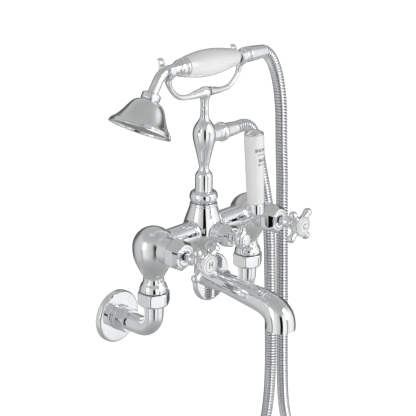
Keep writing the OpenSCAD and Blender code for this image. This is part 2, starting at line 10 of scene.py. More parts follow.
import bmesh
import bpy
import numpy as np
from mathutils import Matrix, Vector
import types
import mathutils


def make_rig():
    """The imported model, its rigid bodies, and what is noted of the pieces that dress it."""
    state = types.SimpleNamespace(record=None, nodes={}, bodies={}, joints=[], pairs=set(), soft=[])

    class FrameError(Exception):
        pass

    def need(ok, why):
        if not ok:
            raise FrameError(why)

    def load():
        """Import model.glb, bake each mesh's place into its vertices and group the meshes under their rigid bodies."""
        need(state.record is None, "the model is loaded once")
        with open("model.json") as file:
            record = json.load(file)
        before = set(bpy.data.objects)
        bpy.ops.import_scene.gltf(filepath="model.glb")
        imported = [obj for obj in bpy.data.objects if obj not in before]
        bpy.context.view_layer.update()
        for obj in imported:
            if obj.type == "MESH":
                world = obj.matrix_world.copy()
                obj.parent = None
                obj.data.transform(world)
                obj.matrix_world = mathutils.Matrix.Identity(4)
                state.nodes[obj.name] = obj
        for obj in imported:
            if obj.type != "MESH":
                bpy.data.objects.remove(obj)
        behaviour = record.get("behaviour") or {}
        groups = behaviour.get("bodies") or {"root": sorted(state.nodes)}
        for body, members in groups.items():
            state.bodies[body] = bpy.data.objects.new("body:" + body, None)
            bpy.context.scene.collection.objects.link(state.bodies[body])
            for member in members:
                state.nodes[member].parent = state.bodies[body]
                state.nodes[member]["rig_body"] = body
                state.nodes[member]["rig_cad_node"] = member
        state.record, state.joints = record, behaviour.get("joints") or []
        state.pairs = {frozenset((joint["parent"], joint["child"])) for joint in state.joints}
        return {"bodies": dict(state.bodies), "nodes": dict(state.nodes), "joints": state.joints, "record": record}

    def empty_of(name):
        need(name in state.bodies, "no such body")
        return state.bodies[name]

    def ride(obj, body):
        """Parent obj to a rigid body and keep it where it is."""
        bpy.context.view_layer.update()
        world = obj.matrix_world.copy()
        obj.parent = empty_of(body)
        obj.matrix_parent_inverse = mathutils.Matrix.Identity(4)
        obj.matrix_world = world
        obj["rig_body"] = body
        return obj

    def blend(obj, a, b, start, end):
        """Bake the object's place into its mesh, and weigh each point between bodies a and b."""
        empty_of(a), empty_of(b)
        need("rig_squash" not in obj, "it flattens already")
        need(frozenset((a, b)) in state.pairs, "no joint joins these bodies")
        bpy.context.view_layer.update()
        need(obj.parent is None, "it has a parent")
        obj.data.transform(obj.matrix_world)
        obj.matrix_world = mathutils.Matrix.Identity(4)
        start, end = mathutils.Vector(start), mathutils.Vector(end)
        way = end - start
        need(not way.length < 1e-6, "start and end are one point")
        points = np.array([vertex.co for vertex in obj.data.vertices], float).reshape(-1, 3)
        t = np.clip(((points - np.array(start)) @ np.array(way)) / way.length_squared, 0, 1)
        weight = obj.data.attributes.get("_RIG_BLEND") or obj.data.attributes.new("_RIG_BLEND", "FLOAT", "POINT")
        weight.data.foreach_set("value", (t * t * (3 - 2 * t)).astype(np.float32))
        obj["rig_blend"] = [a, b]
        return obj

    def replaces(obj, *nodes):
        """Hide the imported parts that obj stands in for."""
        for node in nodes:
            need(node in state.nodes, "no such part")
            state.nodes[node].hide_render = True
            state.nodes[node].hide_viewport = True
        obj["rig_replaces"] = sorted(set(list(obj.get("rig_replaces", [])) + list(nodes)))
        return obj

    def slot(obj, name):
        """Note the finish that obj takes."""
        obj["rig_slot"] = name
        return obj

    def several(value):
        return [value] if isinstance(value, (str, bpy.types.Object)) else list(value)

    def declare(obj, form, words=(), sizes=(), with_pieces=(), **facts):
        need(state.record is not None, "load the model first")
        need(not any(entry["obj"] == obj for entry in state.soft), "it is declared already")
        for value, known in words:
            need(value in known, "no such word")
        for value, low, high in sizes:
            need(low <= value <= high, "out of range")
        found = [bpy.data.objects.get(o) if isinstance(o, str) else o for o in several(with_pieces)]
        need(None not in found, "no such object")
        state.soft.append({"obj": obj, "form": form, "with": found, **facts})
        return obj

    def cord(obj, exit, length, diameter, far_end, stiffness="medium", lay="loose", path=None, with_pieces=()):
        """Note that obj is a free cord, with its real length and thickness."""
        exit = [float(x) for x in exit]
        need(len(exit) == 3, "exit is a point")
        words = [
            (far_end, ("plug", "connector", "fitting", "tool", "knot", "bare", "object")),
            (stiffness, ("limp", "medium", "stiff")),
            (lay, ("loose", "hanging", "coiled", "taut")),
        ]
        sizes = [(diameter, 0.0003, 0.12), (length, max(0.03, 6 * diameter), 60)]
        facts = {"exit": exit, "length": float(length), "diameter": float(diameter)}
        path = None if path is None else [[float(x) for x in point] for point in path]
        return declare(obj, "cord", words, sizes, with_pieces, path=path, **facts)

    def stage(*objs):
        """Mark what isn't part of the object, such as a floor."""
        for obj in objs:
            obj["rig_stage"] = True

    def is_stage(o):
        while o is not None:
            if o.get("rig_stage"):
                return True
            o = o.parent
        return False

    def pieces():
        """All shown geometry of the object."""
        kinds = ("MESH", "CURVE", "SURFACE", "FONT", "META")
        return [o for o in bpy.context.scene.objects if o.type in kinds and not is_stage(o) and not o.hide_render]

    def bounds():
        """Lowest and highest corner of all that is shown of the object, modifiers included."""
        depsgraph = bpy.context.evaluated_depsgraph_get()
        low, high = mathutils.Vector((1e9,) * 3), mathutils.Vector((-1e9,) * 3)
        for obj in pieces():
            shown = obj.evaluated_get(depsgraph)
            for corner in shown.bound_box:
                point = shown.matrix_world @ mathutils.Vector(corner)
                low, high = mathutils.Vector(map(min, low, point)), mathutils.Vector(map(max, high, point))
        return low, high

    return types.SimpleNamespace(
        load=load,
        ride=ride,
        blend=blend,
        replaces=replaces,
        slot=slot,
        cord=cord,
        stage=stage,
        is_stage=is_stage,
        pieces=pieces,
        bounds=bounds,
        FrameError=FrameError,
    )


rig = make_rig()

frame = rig.load()
CAD_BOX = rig.bounds()

MM = 0.001  # metres in a millimetre
EDGE_ANGLE = radians(50)  # edges sharper than this stay sharp

# Millimetres and degrees. _D: distance from the wall, _R: radius, _AF: width across flats.
REACH = 68.5  # distance from the wall to the vertical axes
INLET_X = 90
FLANGE_R, ELBOW_R = 34, 12
VALVE_Z = 110
NECK_R, CROSS_R = 16.4, 14.2  # valve neck and cross tube
BONNET_D, HEXAGON_D = 95, 102  # where the CAD bonnet starts, and the visible hexagon on it
BONNET_AF = 34.8
ARMS_D, ARMS_R, ARMS_TURN = 152.3, 21.5, 40  # cross handles
DIVERTER_D = 104
LEVER_D, LEVER_Z, LEVER_LEAN, LEVER_LEN = 151.3, 161.5, 3.6, 84
LEVER_R, LEVER_GROWS = 10.5, 1.5  # radius at its foot, and how much more it has at its top
RISER_Z = 145
OUTLET_Z = 228.5
HANDSET_Z = 319
FORK_X = 65
ROSE_X, ROSE_Z, ROSE_TILT, ROSE_R, ROSE_H = -111.9, 257, 28, 37.8, 35.5
GRIP_X0, GRIP_X1 = -36, 54.5
TAIL_X = 78
SPOUT_D, SPOUT_Z, SPOUT_ROOT_Z = 194, 12, 49
HOSE_CREST, HOSE_GROOVE = 8.3, 6.3
HOSE_PITCH = 4.2  # from one turn of the strip to the next
STEPS_PER_TURN, HOSE_AROUND = 7, 28  # points of the hose's mesh along a turn and around
ROUTE_SAMPLES = 24000  # points of the curve that the hose's length is measured on
SEAM_SHARE = 0.28  # share of a turn that is the seam, sunk in and painted near-black as shade
HOSE_START_X, HOSE_END_X = 59.5, 112.8
SIDES = (("hot_", -INLET_X, "H"), ("cold_", INLET_X, "C"))

# The route of part.scad: [x, z] in the plane of the riser, from the riser outlet to the handset.
# The visible hose starts a little further back, inside its nut.
HOSE_ROUTE = [
    (HOSE_START_X, OUTLET_Z), (80, 228), (88, 224), (96, 215), (102, 202), (107, 186),
    (112, 169), (118, 149), (124, 129), (130, 106), (134, 82), (137, 56), (139, 28),
    (141, -2), (143, -36), (145, -72), (147, -108), (148, -144), (147, -180), (142, -214),
    (133, -246), (121, -276), (109, -305), (101, -333), (101, -362), (110, -389),
    (127, -410), (149, -421), (173, -421), (195, -410), (212, -389), (221, -362),
    (221, -333), (213, -305), (203, -276), (193, -246), (184, -214), (179, -180),
    (176, -144), (174, -108), (172, -72), (170, -36), (168, 0), (166, 36), (164, 72),
    (162, 108), (160, 144), (157, 180), (155, 210), (153, 236), (149, 260), (143, 281),
    (135, 298), (125, 311), (HOSE_END_X, HANDSET_Z),
]
HOSE_LOWEST = 27  # index of the route's point where the two halves of the hose meet

CAMERA_AZIMUTH, CAMERA_ELEVATION, CAMERA_ROLL = 48.99, 18.5, 0.69
CAMERA_TARGET = Vector((0.01833, -0.060, 0.12987))
CAMERA_DISTANCE = 1.37994
CAMERA_LENS = 94.29
FLOOR_Z = -0.4365


# --- placing ---


def turned_frame(origin, degrees, axis):
    """Frame at a point, turned about one of the row frame's axes."""
    return Matrix.Translation(origin) @ Matrix.Rotation(radians(degrees), 4, axis)


def out_of_wall(x, z):
    """Local +Z points out of the wall."""
    return turned_frame((x, 0, z), 90, "X")


def upright(x):
    """Local +Z runs up the vertical axis at x."""
    return Matrix.Translation((x, -REACH, 0))


def along_x(z):
    """Local +Z runs along +X in the plane of the riser."""
    return turned_frame((0, -REACH, z), 90, "Y")


def sideways(x, way):
    """Local +Z runs along a cross tube from x, to +X if way is 1 and to -X if it is -1."""
    return turned_frame((x, -REACH, VALVE_Z), way * 90, "Y")


def on_rose():
    """Local +Z runs from the rose rim up to its neck."""
    return turned_frame((ROSE_X, -REACH, ROSE_Z), ROSE_TILT, "Y")


def on_lever():
    """Local +Z runs up the lever from the foot of the porcelain."""
    return turned_frame((0, -LEVER_D, LEVER_Z), -LEVER_LEAN, "X")


# --- outlines and meshes ---


def rounded(corners, arc=5, support=0.3):
    """Outline [r, z] through corners (r, z, fillet), each corner rounded over its fillet."""
    line = []
    for i, (r, z, fillet) in enumerate(corners):
        here = Vector((r, z))
        if fillet == 0 or i in (0, len(corners) - 1):
            line.append(here)
            continue
        before = Vector(corners[i - 1][:2]) - here
        after = Vector(corners[i + 1][:2]) - here
        cut = min(fillet, 0.45 * before.length, 0.45 * after.length)
        start, end = here + before.normalized() * cut, here + after.normalized() * cut
        spare = min(support, 0.04 * before.length, 0.04 * after.length)
        line.append(start + before.normalized() * spare)
        for k in range(arc + 1):
            t = k / arc
            line.append(start * (1 - t) ** 2 + here * 2 * t * (1 - t) + end * t**2)
        line.append(end + after.normalized() * spare)
    return [tuple(p) for p in line]


def smooth_through(points, steps):
    """Points along the curve of continuous curvature through the given ones."""
    given = np.array(points, float)
    gaps = np.linalg.norm(np.diff(given, axis=0), axis=1)
    knots = np.concatenate([[0], np.cumsum(gaps)])
    count = len(given)
    system, right = np.eye(count), np.zeros_like(given)
    for i in range(1, count - 1):
        system[i, i - 1 : i + 2] = gaps[i - 1], 2 * (gaps[i - 1] + gaps[i]), gaps[i]
        slopes = np.diff(given[i - 1 : i + 2], axis=0) / gaps[i - 1 : i + 1, None]
        right[i] = 6 * (slopes[1] - slopes[0])
    bends = np.linalg.solve(system, right)
    at = np.linspace(0, knots[-1], steps)
    k = np.clip(np.searchsorted(knots, at, side="right") - 1, 0, count - 2)
    gap = gaps[k][:, None]
    before, after = (knots[k + 1] - at)[:, None], (at - knots[k])[:, None]
    return (
        (bends[k] * before**3 + bends[k + 1] * after**3) / (6 * gap)
        + (given[k] / gap - bends[k] * gap / 6) * before
        + (given[k + 1] / gap - bends[k + 1] * gap / 6) * after
    )


def polar(radius, turn, z):
    """Point at a radius from the local Z axis, in the direction turn."""
    return Vector((radius * cos(turn), radius * sin(turn), z))


def full_turn(segments):
    """The directions of a ring's points."""
    return [2 * pi * i / segments for i in range(segments)]


def lathe_rows(outline, place, segments=72):
    """Rings of points that turn the outline [r, z] about the place's axis."""
    return [[place @ polar(r, turn, z) for turn in full_turn(segments)] for r, z in outline]


def hex_radius(flats, turn, sharpness=70):
    """Radius of a hexagon with slightly rounded corners in the direction turn."""
    total = sum(max(0.0, cos(turn - radians(60 * face))) ** sharpness for face in range(6))
    return flats / 2 * total ** (-1 / sharpness)


def hex_rows(flats, outline, place, turn=0.0, segments=120, sharpness=40):
    """Rings of a hexagonal bar, with flats [z, across], turned down to the outline [r, z]."""
    heights, widths = zip(*flats)
    rows = []
    for r, z in outline:
        width = float(np.interp(z, heights, widths))
        ring = []
        for angle in full_turn(segments):
            flat = hex_radius(width, angle - turn)
            both = (r**-sharpness + flat**-sharpness) ** (-1 / sharpness)
            ring.append(place @ polar(both, angle, z))
        rows.append(ring)
    return rows


def sweep_rows(path, radii, segments=48):
    """Rings of points round a path, with no twist."""
    points = [Vector(p) for p in path]
    headings = [
        (points[min(i + 1, len(points) - 1)] - points[max(i - 1, 0)]).normalized()
        for i in range(len(points))
    ]
    side = headings[0].orthogonal().normalized()
    rows = []
    for point, heading, radius in zip(points, headings, radii):
        side = (side - heading * side.dot(heading)).normalized()
        up = heading.cross(side)
        rows.append([
            point + side * radius * cos(turn) + up * radius * sin(turn)
            for turn in full_turn(segments)
        ])
    return rows


def grid(rows, loop=False):
    """(points, faces) of a grid of rings; it is closed by its ends, or by itself if loop."""
    across = len(rows[0])
    points = [p for row in rows for p in row]
    faces = []
    for i in range(len(rows) - (0 if loop else 1)):
        low, high = i * across, (i + 1) % len(rows) * across
        for j in range(across):
            k = (j + 1) % across
            faces.append([low + j, low + k, high + k, high + j])
    if not loop:
        last = (len(rows) - 1) * across
        faces.append(list(reversed(range(across))))
        faces.append([last + j for j in range(across)])
    return points, faces


def placed(name, data):
    """A new object in the scene."""
    thing = bpy.data.objects.new(name, data)
    bpy.context.scene.collection.objects.link(thing)
    return thing


def shape(name, solids, material):
    """One smooth object from closed solids, each a pair (points in mm, faces)."""
    points, faces = [], []
    for solid_points, solid_faces in solids:
        start = len(points)
        points += [Vector(p) * MM for p in solid_points]
        faces += [[start + i for i in face] for face in solid_faces]
    mesh = bpy.data.meshes.new(name)
    mesh.from_pydata(points, [], faces)
    face_outwards(mesh)
    mesh.shade_smooth()
    mesh.set_sharp_from_angle(angle=EDGE_ANGLE)
    mesh.materials.append(material)
    return placed(name, mesh)


def make(name, solids, material, slot, body, *nodes):
    """A piece that rides on a body and stands for CAD nodes."""
    piece = shape(name, solids, material)
    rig.ride(piece, body)
    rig.slot(piece, slot)
    if nodes:
        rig.replaces(piece, *nodes)
    return piece


def plated(name, solids, body, *nodes):
    """A piece of polished chrome plate."""
    return make(name, solids, CHROME, "chrome", body, *nodes)


def face_outwards(mesh):
    """Makes every face of a closed mesh point out of it."""
    work = bmesh.new()
    work.from_mesh(mesh)
    bmesh.ops.recalc_face_normals(work, faces=work.faces)
    work.to_mesh(mesh)
    work.free()


def turned(corners, place, segments=72, loop=False):
    """Solid of revolution with filleted corners (r, z, fillet)."""
    return grid(lathe_rows(rounded(corners), place, segments), loop)


def nut(flats, corners, place, turn=0.0):
    """Hexagonal nut with flats [z, across] turned down to corners (r, z, fillet)."""
    return grid(hex_rows(flats, rounded(corners), place, turn))


# --- cast forms: solids that flow into each other ---


def local(points, place):
    """Points of the row frame in the place's own frame."""
    back = np.array(place.inverted())
    return points @ back[:3, :3].T + back[:3, 3]


def outline_distance(flat, outline):
    """Signed distance of points [r, z] from a closed outline, negative inside."""
    ends = np.roll(outline, -1, 0)
    best = np.full(len(flat), np.inf)
    inside = np.zeros(len(flat), bool)
    for a, b in zip(outline, ends):
        edge, way = b - a, flat - a
        t = np.clip(way @ edge / (edge @ edge), 0, 1)
        best = np.minimum(best, ((way - t[:, None] * edge) ** 2).sum(1))
        if a[1] != b[1]:
            spans = (a[1] > flat[:, 1]) != (b[1] > flat[:, 1])
            inside ^= spans & (flat[:, 0] < a[0] + (flat[:, 1] - a[1]) * edge[0] / edge[1])
    return np.sqrt(best) * np.where(inside, -1, 1)


def revolved(place, stations):
    """Field of the solid turned through stations [r, z], with flat ends."""
    line = np.array(stations, float)
    outline = np.vstack([[-50, line[0][1]], line, [-50, line[-1][1]]])

    def field(points):
        at = local(points, place)
        return outline_distance(np.stack([np.hypot(at[:, 0], at[:, 1]), at[:, 2]], 1), outline)

    return field


def ball(centre, radius):
    """Field of a ball."""
    return lambda points: np.linalg.norm(points - np.array(centre), axis=1) - radius


def bar(a, b, ra, rb):
    """Field of a round bar from a to b whose radius goes from ra to rb."""
    start, way = np.array(a, float), np.array(b, float) - np.array(a, float)

    def field(points):
        t = np.clip((points - start) @ way / (way @ way), 0, 1)
        near = np.linalg.norm(points - start - t[:, None] * way, axis=1)
        return near - (ra + (rb - ra) * t)

    return field


def strand(path, radii, blend=0.6):
    """Field of a bar that follows a path."""
    return joined(blend, *map(bar, path, path[1:], radii, radii[1:]))


def joined(blend, *fields):
    """Field of several solids that flow into each other over the distance blend."""

    def field(points):
        total = fields[0](points)
        for other in fields[1:]:
            value = other(points)
            near = np.clip(0.5 + 0.5 * (total - value) / blend, 0, 1)
            total = total + (value - total) * near - blend * near * (1 - near)
        return total

    return field


def slope(field, points, step=0.02):
    """Gradient of a field."""
    parts = []
    for axis in range(3):
        shift = np.zeros(3)
        shift[axis] = step
        parts.append((field(points + shift) - field(points - shift)) / (2 * step))
    return np.stack(parts, 1)


def onto(field, points, limit, times=3):
    """Points moved onto the surface where the field is zero."""
    for _ in range(times):
        value, way = field(points), slope(field, points)
        size = np.maximum((way**2).sum(1), 0.05)
        points = points - way * (np.clip(value, -limit, limit) / size)[:, None]
    return points


def cast(field, low, high, cell=1.0):
    """(points, faces) of the closed surface where the field is zero inside the box."""
    axes = [np.arange(l, h + cell, cell) for l, h in zip(low, high)]
    sizes = [len(a) for a in axes]
    nodes = np.stack(np.meshgrid(*axes, indexing="ij"), -1).reshape(-1, 3)
    solid = (field(nodes) < 0).reshape(sizes)
    corner = np.zeros([n - 1 for n in sizes], int)
    for shift in np.ndindex(2, 2, 2):
        corner += solid[tuple(slice(s, s + n - 1) for s, n in zip(shift, sizes))]
    crossed = (corner > 0) & (corner < 8)
    number = np.full(crossed.shape, -1)
    number[crossed] = np.arange(crossed.sum())
    points = np.array(low) + cell * (np.argwhere(crossed) + 0.5)
    faces = []
    for axis in range(3):
        spots = np.argwhere(np.diff(solid.astype(int), axis=axis))
        one, two = [a for a in range(3) if a != axis]
        around = []
        for back_one, back_two in ((0, 0), (1, 0), (1, 1), (0, 1)):
            cells = spots.copy()
            cells[:, one] -= back_one
            cells[:, two] -= back_two
            around.append(number[tuple(cells.T)])
        faces.append(np.stack(around, 1))
    faces = np.vstack(faces)
    points = onto(field, points, cell)
    for _ in range(3):
        points = onto(field, evened(points, faces), cell, 2)
    return points.tolist(), faces.tolist()


def evened(points, faces):
    """Points drawn towards the middle of their neighbours."""
    total, count = np.zeros_like(points), np.zeros(len(points))
    for k in range(4):
        a, b = faces[:, k], faces[:, (k + 1) % 4]
        np.add.at(total, a, points[b])
        np.add.at(total, b, points[a])
        np.add.at(count, a, 1)
        np.add.at(count, b, 1)
    return points * 0.4 + 0.6 * total / np.maximum(count, 1)[:, None]


# --- materials ---


def feed(node, inputs):
    """Gives a node's inputs their values, or links them to other nodes' outputs."""
    for socket, value in inputs.items():
        if isinstance(value, bpy.types.NodeSocket):
            node.id_data.links.new(value, node.inputs[socket])
        else:
            node.inputs[socket].default_value = value


def add(tree, kind, inputs, **settings):
    """A new node with its settings and inputs."""
    node = tree.nodes.new("ShaderNode" + kind)
    for name, value in settings.items():
        setattr(node, name, value)
    feed(node, inputs)
    return node


def surface(name):
    """(material, its node tree, its shader)"""
    material = bpy.data.materials.new(name)
    material.use_nodes = True
    return material, material.node_tree, material.node_tree.nodes["Principled BSDF"]


def noise(tree, scale, detail):
    """Output of a noise that lies on the object."""
    place = tree.nodes.new("ShaderNodeTexCoord").outputs["Object"]
    return add(tree, "TexNoise", {"Scale": scale, "Detail": detail, "Vector": place}).outputs["Fac"]


def ramp(tree, source, stops):
    """Colour output of a ramp with stops (share, colour)."""
    node = add(tree, "ValToRGB", {"Fac": source})
    elements = node.color_ramp.elements
    while len(elements) < len(stops):
        elements.new(0.5)
    for element, (share, colour) in zip(elements, stops):
        element.position = share
        element.color = (*colour, 1)
    return node.outputs["Color"]


def finish(name, colours, roughness, grain, wear=None, metallic=0.0, bump=None):
    """Material that varies over the object: colour and bump with the grain (scale, detail),
    and roughness with the wear, which is the grain again if none is given."""
    material, tree, shader = surface(name)
    low, high = 0.3, 0.7  # a noise hardly leaves this range
    texture = noise(tree, *grain)
    spread = {"From Min": low, "From Max": high, "To Min": roughness[0], "To Max": roughness[1]}
    rough = add(tree, "MapRange", {**spread, "Value": noise(tree, *(wear or grain))})
    colour = ramp(tree, texture, ((low, colours[0]), (high, colours[1])))
    feed(shader, {"Metallic": metallic, "Base Color": colour, "Roughness": rough.outputs["Result"]})
    if bump:
        lift = {"Strength": bump[0], "Distance": bump[1], "Height": texture}
        feed(shader, {"Normal": add(tree, "Bump", lift).outputs["Normal"]})
    return material


def grey(value):
    return (value, value, value)


def chrome(name, roughness):
    """Chrome plate, with the faint waviness of buffed brass under it."""
    colours = (0.87, 0.88, 0.89), (0.93, 0.94, 0.95)
    return finish(name, colours, roughness, (90, 3), (260, 4), 1.0, (0.03, 0.0002))


def porcelain():
    """White glazed porcelain: an even body under a glossy, slightly uneven glaze."""
    colours = grey(0.70), grey(0.74)
    material = finish(
        "glazed_porcelain", colours, (0.16, 0.26), (45, 3), (180, 2), bump=(0.05, 0.0003)
    )
    shader = material.node_tree.nodes["Principled BSDF"]
    feed(shader, {"Coat Weight": 0.6, "Coat Roughness": 0.06})
    return material


def fired_ink(name, tone):
    """Grey ink fired into the glaze."""
    return finish(name, (grey(tone * 0.8), grey(tone * 1.2)), (0.25, 0.4), (800, 2))


CHROME = chrome("polished_chrome", (0.025, 0.06))
CAST_CHROME = chrome("cast_chrome", (0.17, 0.23))
PORCELAIN = porcelain()
BRASS = finish(
    "machined_brass", ((0.58, 0.42, 0.17), (0.76, 0.58, 0.28)), (0.22, 0.38), (420, 2),
    metallic=1.0, bump=(0.2, 0.0001),
)
RUBBER = finish(
    "black_rubber", ((0.012, 0.012, 0.012), (0.035, 0.035, 0.036)), (0.6, 0.85), (600, 4),
    bump=(0.3, 0.0001),
)
CERAMIC = finish("lapped_ceramic", ((0.78, 0.78, 0.75), (0.88, 0.88, 0.86)), (0.28, 0.42), (900, 2))
PLASTIC = finish(
    "white_plastic", (grey(0.78), grey(0.88)), (0.35, 0.5), (500, 3), bump=(0.1, 0.0001)
)
INK, PALE_INK = fired_ink("fired_ink", 0.1), fired_ink("pale_ink", 0.2)
# The strip of the hose, a little duller than the cast parts, and a near-black metal painted into the seam between its
# turns as shade.
HOSE_CHROME = finish(
    "hose_chrome", ((0.74, 0.75, 0.77), (0.88, 0.89, 0.90)), (0.10, 0.20), (300, 3), (700, 2), 1.0
)
PAINTED_SEAM_SHADE = finish("hose_seam_painted_shade", (grey(0.05), grey(0.14)), (0.35, 0.55), (500, 3), (400, 2), 1.0)


# --- camera ---


def camera():
    """Camera at the viewing angle, with the small roll of the horizon."""
    azimuth, elevation = radians(CAMERA_AZIMUTH), radians(CAMERA_ELEVATION)
    level = Vector((-sin(azimuth), -cos(azimuth), 0))
    back = level * cos(elevation) + Vector((0, 0, sin(elevation)))
    right = Vector((cos(azimuth), -sin(azimuth), 0))
    up = back.cross(right)
    roll = radians(CAMERA_ROLL)
    across = right * cos(roll) + up * sin(roll)
    upward = up * cos(roll) - right * sin(roll)
    lens = bpy.data.cameras.new("camera")
    lens.lens = CAMERA_LENS
    lens.clip_end = 50
    eye = placed("camera", lens)
    turn = Matrix((across, upward, back)).transposed().to_4x4()
    eye.matrix_world = Matrix.Translation(CAMERA_TARGET + back * CAMERA_DISTANCE) @ turn
    bpy.context.scene.camera = eye


# --- hose ---


def hose_halves():
    """Centre lines of the two halves in mm, with the distance run at each point."""
    fine = smooth_through([(x, -REACH, z) for x, z in HOSE_ROUTE], ROUTE_SAMPLES)
    run = np.concatenate([[0], np.cumsum(np.linalg.norm(np.diff(fine, axis=0), axis=1))])
    lowest_x, lowest_z = HOSE_ROUTE[HOSE_LOWEST]
    middle = np.argmin(np.linalg.norm(fine - (lowest_x, -REACH, lowest_z), axis=1))
    step = HOSE_PITCH / STEPS_PER_TURN
    for start, end in ((0, run[middle]), (run[middle], run[-1])):
        at = np.linspace(start, end, int((end - start) / step) + 1)
        yield at, np.stack([np.interp(at, run, fine[:, axis]) for axis in range(3)], 1)


def hose_half(name, run, line, bodies):
    """Half of the metal hose: a strip wound into rounded turns with a seam between them, painted near-black as shade.
    """
    rows, seam_shade_mask = [], []
    for i, (point, distance) in enumerate(zip(line, run)):
        ahead = Vector(line[min(i + 1, len(line) - 1)]) - Vector(line[max(i - 1, 0)])
        heading = ahead.normalized()
        out = Vector((heading.z, 0, -heading.x))
        side = Vector((0, 1, 0))
        ring = []
        for j, turn in enumerate(full_turn(HOSE_AROUND)):
            phase = (distance / HOSE_PITCH + j / HOSE_AROUND) % 1
            rise = sin(pi * min(phase / (1 - SEAM_SHARE), 1))
            radius = HOSE_GROOVE + (HOSE_CREST - HOSE_GROOVE) * max(rise, 0) ** 0.75
            ring.append(Vector(point) + (out * cos(turn) + side * sin(turn)) * radius)
            seam_shade_mask.append(phase > 1 - SEAM_SHARE or phase < 0.02)
        rows.append(ring)
    piece = shape(name, [grid(rows)], HOSE_CHROME)
    # Faces of the seam take a near-black material: painted shade where the seam sinks in.
    piece.data.materials.append(PAINTED_SEAM_SHADE)
    for face in piece.data.polygons:
        if len(face.vertices) == 4 and sum(seam_shade_mask[v] for v in face.vertices) >= 3:
            face.material_index = 1
    path = [tuple(Vector(p) * MM) for p in line]
    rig.blend(piece, *bodies, start=path[0], end=path[-1])
    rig.replaces(piece, "hose")
    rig.slot(piece, "hose_metal")
    return piece, path, (run[-1] - run[0]) * MM


def hose():
    """The shower hose, in two halves that meet at the foot of its loop."""
    bodies = (("mixer", "cradle"), ("cradle", "handset"))
    names = ("hose_riser_half", "hose_handset_half")
    nuts = hose_nuts()
    for name, half, pair, end_nut, outside in zip(names, hose_halves(), bodies, nuts, (0, -1)):
        piece, path, length = hose_half(name, *half, pair)
        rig.cord(
            piece,
            exit=path[outside],
            length=length,
            diameter=(HOSE_CREST + HOSE_GROOVE) * MM,
            far_end="object",
            stiffness="medium",
            lay="hanging",
            path=path,
            with_pieces=[end_nut],
        )


def hose_nuts():
    """The nuts that screw the hose to the riser outlet and to the handset."""
    riser_end = [
        (6.4, 53.1, 0), (8.5, 53.1, 0.3), (8.7, 53.8, 0.4), (8.6, 57.5, 2),
        (8.2, HOSE_START_X - 0.2, 0.5), (7, HOSE_START_X - 0.1, 0),
    ]
    handset_end = [
        (6.4, TAIL_X + 0.3, 0), (9.2, TAIL_X + 0.3, 0.6), (10, TAIL_X + 1.9, 1),
        (9.7, TAIL_X + 9, 3), (8.2, HOSE_END_X - 0.4, 0.5), (7.2, HOSE_END_X - 0.3, 0),
    ]
    ends = (
        ("riser_hose_nut", riser_end, OUTLET_Z, "mixer"),
        ("handset_hose_nut", handset_end, HANDSET_Z, "handset"),
    )
    return [
        plated(node + "_plated", [turned(corners, along_x(z))], body, node)
        for node, corners, z, body in ends
    ]


# --- wall side ---


def threaded_inlet(x):
    """Brass inlet with its G1/2 thread, hollow for the water."""
    pitch, depth, major, bore, length = 1.814, 1.1, 10.48, 7, 20
    chamfer, tip = 2.5, 8.4
    place = out_of_wall(x, 0)
    steps, segments = 8, 72  # points of the mesh along one pitch and around
    rows = []
    for k in range(int(length / pitch * steps) + 1):
        z = -length + k * pitch / steps
        ring = []
        for j, turn in enumerate(full_turn(segments)):
            phase = (z / pitch + j / segments) % 1
            radius = major - depth * abs(2 * phase - 1)
            if z < chamfer - length:
                radius = min(radius, tip + (z + length) / 2)
            ring.append(place @ polar(radius, turn, z))
        rows.append(ring)
    rest = [
        (9.9, 0.3, 0), (9.9, 9.2, 0), (12.9, 13, 0), (12.9, 20.9, 0), (bore, 20.9, 0),
        (bore, -length, 0),
    ]
    rows += lathe_rows(rounded(rest), place, segments)
    return grid(rows, loop=True)


def wall_side(side, x):
    """Inlet, flange and elbow between the wall and a pillar."""
    wall = out_of_wall(x, 0)
    make(side + "inlet", [threaded_inlet(x)], BRASS, "brass", "mixer", side + "wall_connector")
    collar = [
        (10.2, 9.4, 0), (15.2, 9.4, 0), (16.4, 10.3, 0.8), (16.4, 12.8, 0.9), (15.4, 13.8, 0.5),
        (13.1, 13.9, 0),
    ]
    plated(side + "wall_collar", [turned(collar, wall)], "mixer")
    flange = [
        (10.9, 0.2, 0), (FLANGE_R - 0.6, 0, 0.4), (FLANGE_R, 0.8, 0.5), (FLANGE_R, 7.2, 1.6),
        (FLANGE_R - 1.6, 8.9, 1.4), (30.6, 9.2, 1.5), (24, 9.35, 4), (16.8, 9.5, 0.4),
        (10.9, 9.5, 0),
    ]
    plated(side + "flange", [turned(flange, wall, 128)], "mixer", side + "wall_flange")
    hexagon = [
        (13.2, 14, 0), (15.3, 14.1, 0.3), (16.6, 15.4, 0.5), (16.6, 28.1, 0.6), (15, 29.5, 0.5),
        (11.2, 29.6, 0),
    ]
    plated(
        side + "wall_hexagon", [nut([(14, 29)], hexagon, wall, radians(12))],
        "mixer", side + "wall_nut",
    )
    bend, top = 22, 42
    corner = Vector((x, -(REACH - bend), bend))
    path = [(x, -23, 0), (x, -36, 0)]
    path += [
        corner + bend * Vector((0, -sin(t), -cos(t)))
        for t in (pi / 2 * k / 28 for k in range(29))
    ]
    path += [(x, -REACH, 27), (x, -REACH, 32), (x, -REACH, top)]
    radii = [ELBOW_R] * (len(path) - 3) + [ELBOW_R + 0.2, ELBOW_R + 0.3, ELBOW_R + 0.3]
    plated(side + "elbow_tube", [grid(sweep_rows(path, radii, 64))], "mixer", side + "elbow")
    union = [
        (12.4, 34, 0), (15.6, 34.1, 1.2), (18.6, 36.2, 1.6), (20.9, 38.8, 1), (20.9, 50.2, 1.6),
        (18.9, 52.3, 0.8), (15.4, 52.5, 0),
    ]
    plated(
        side + "union_hexagon", [nut([(34, 36.4)], union, upright(x), radians(1))],
        "mixer", side + "union_nut",
    )


# --- pillars and valves ---


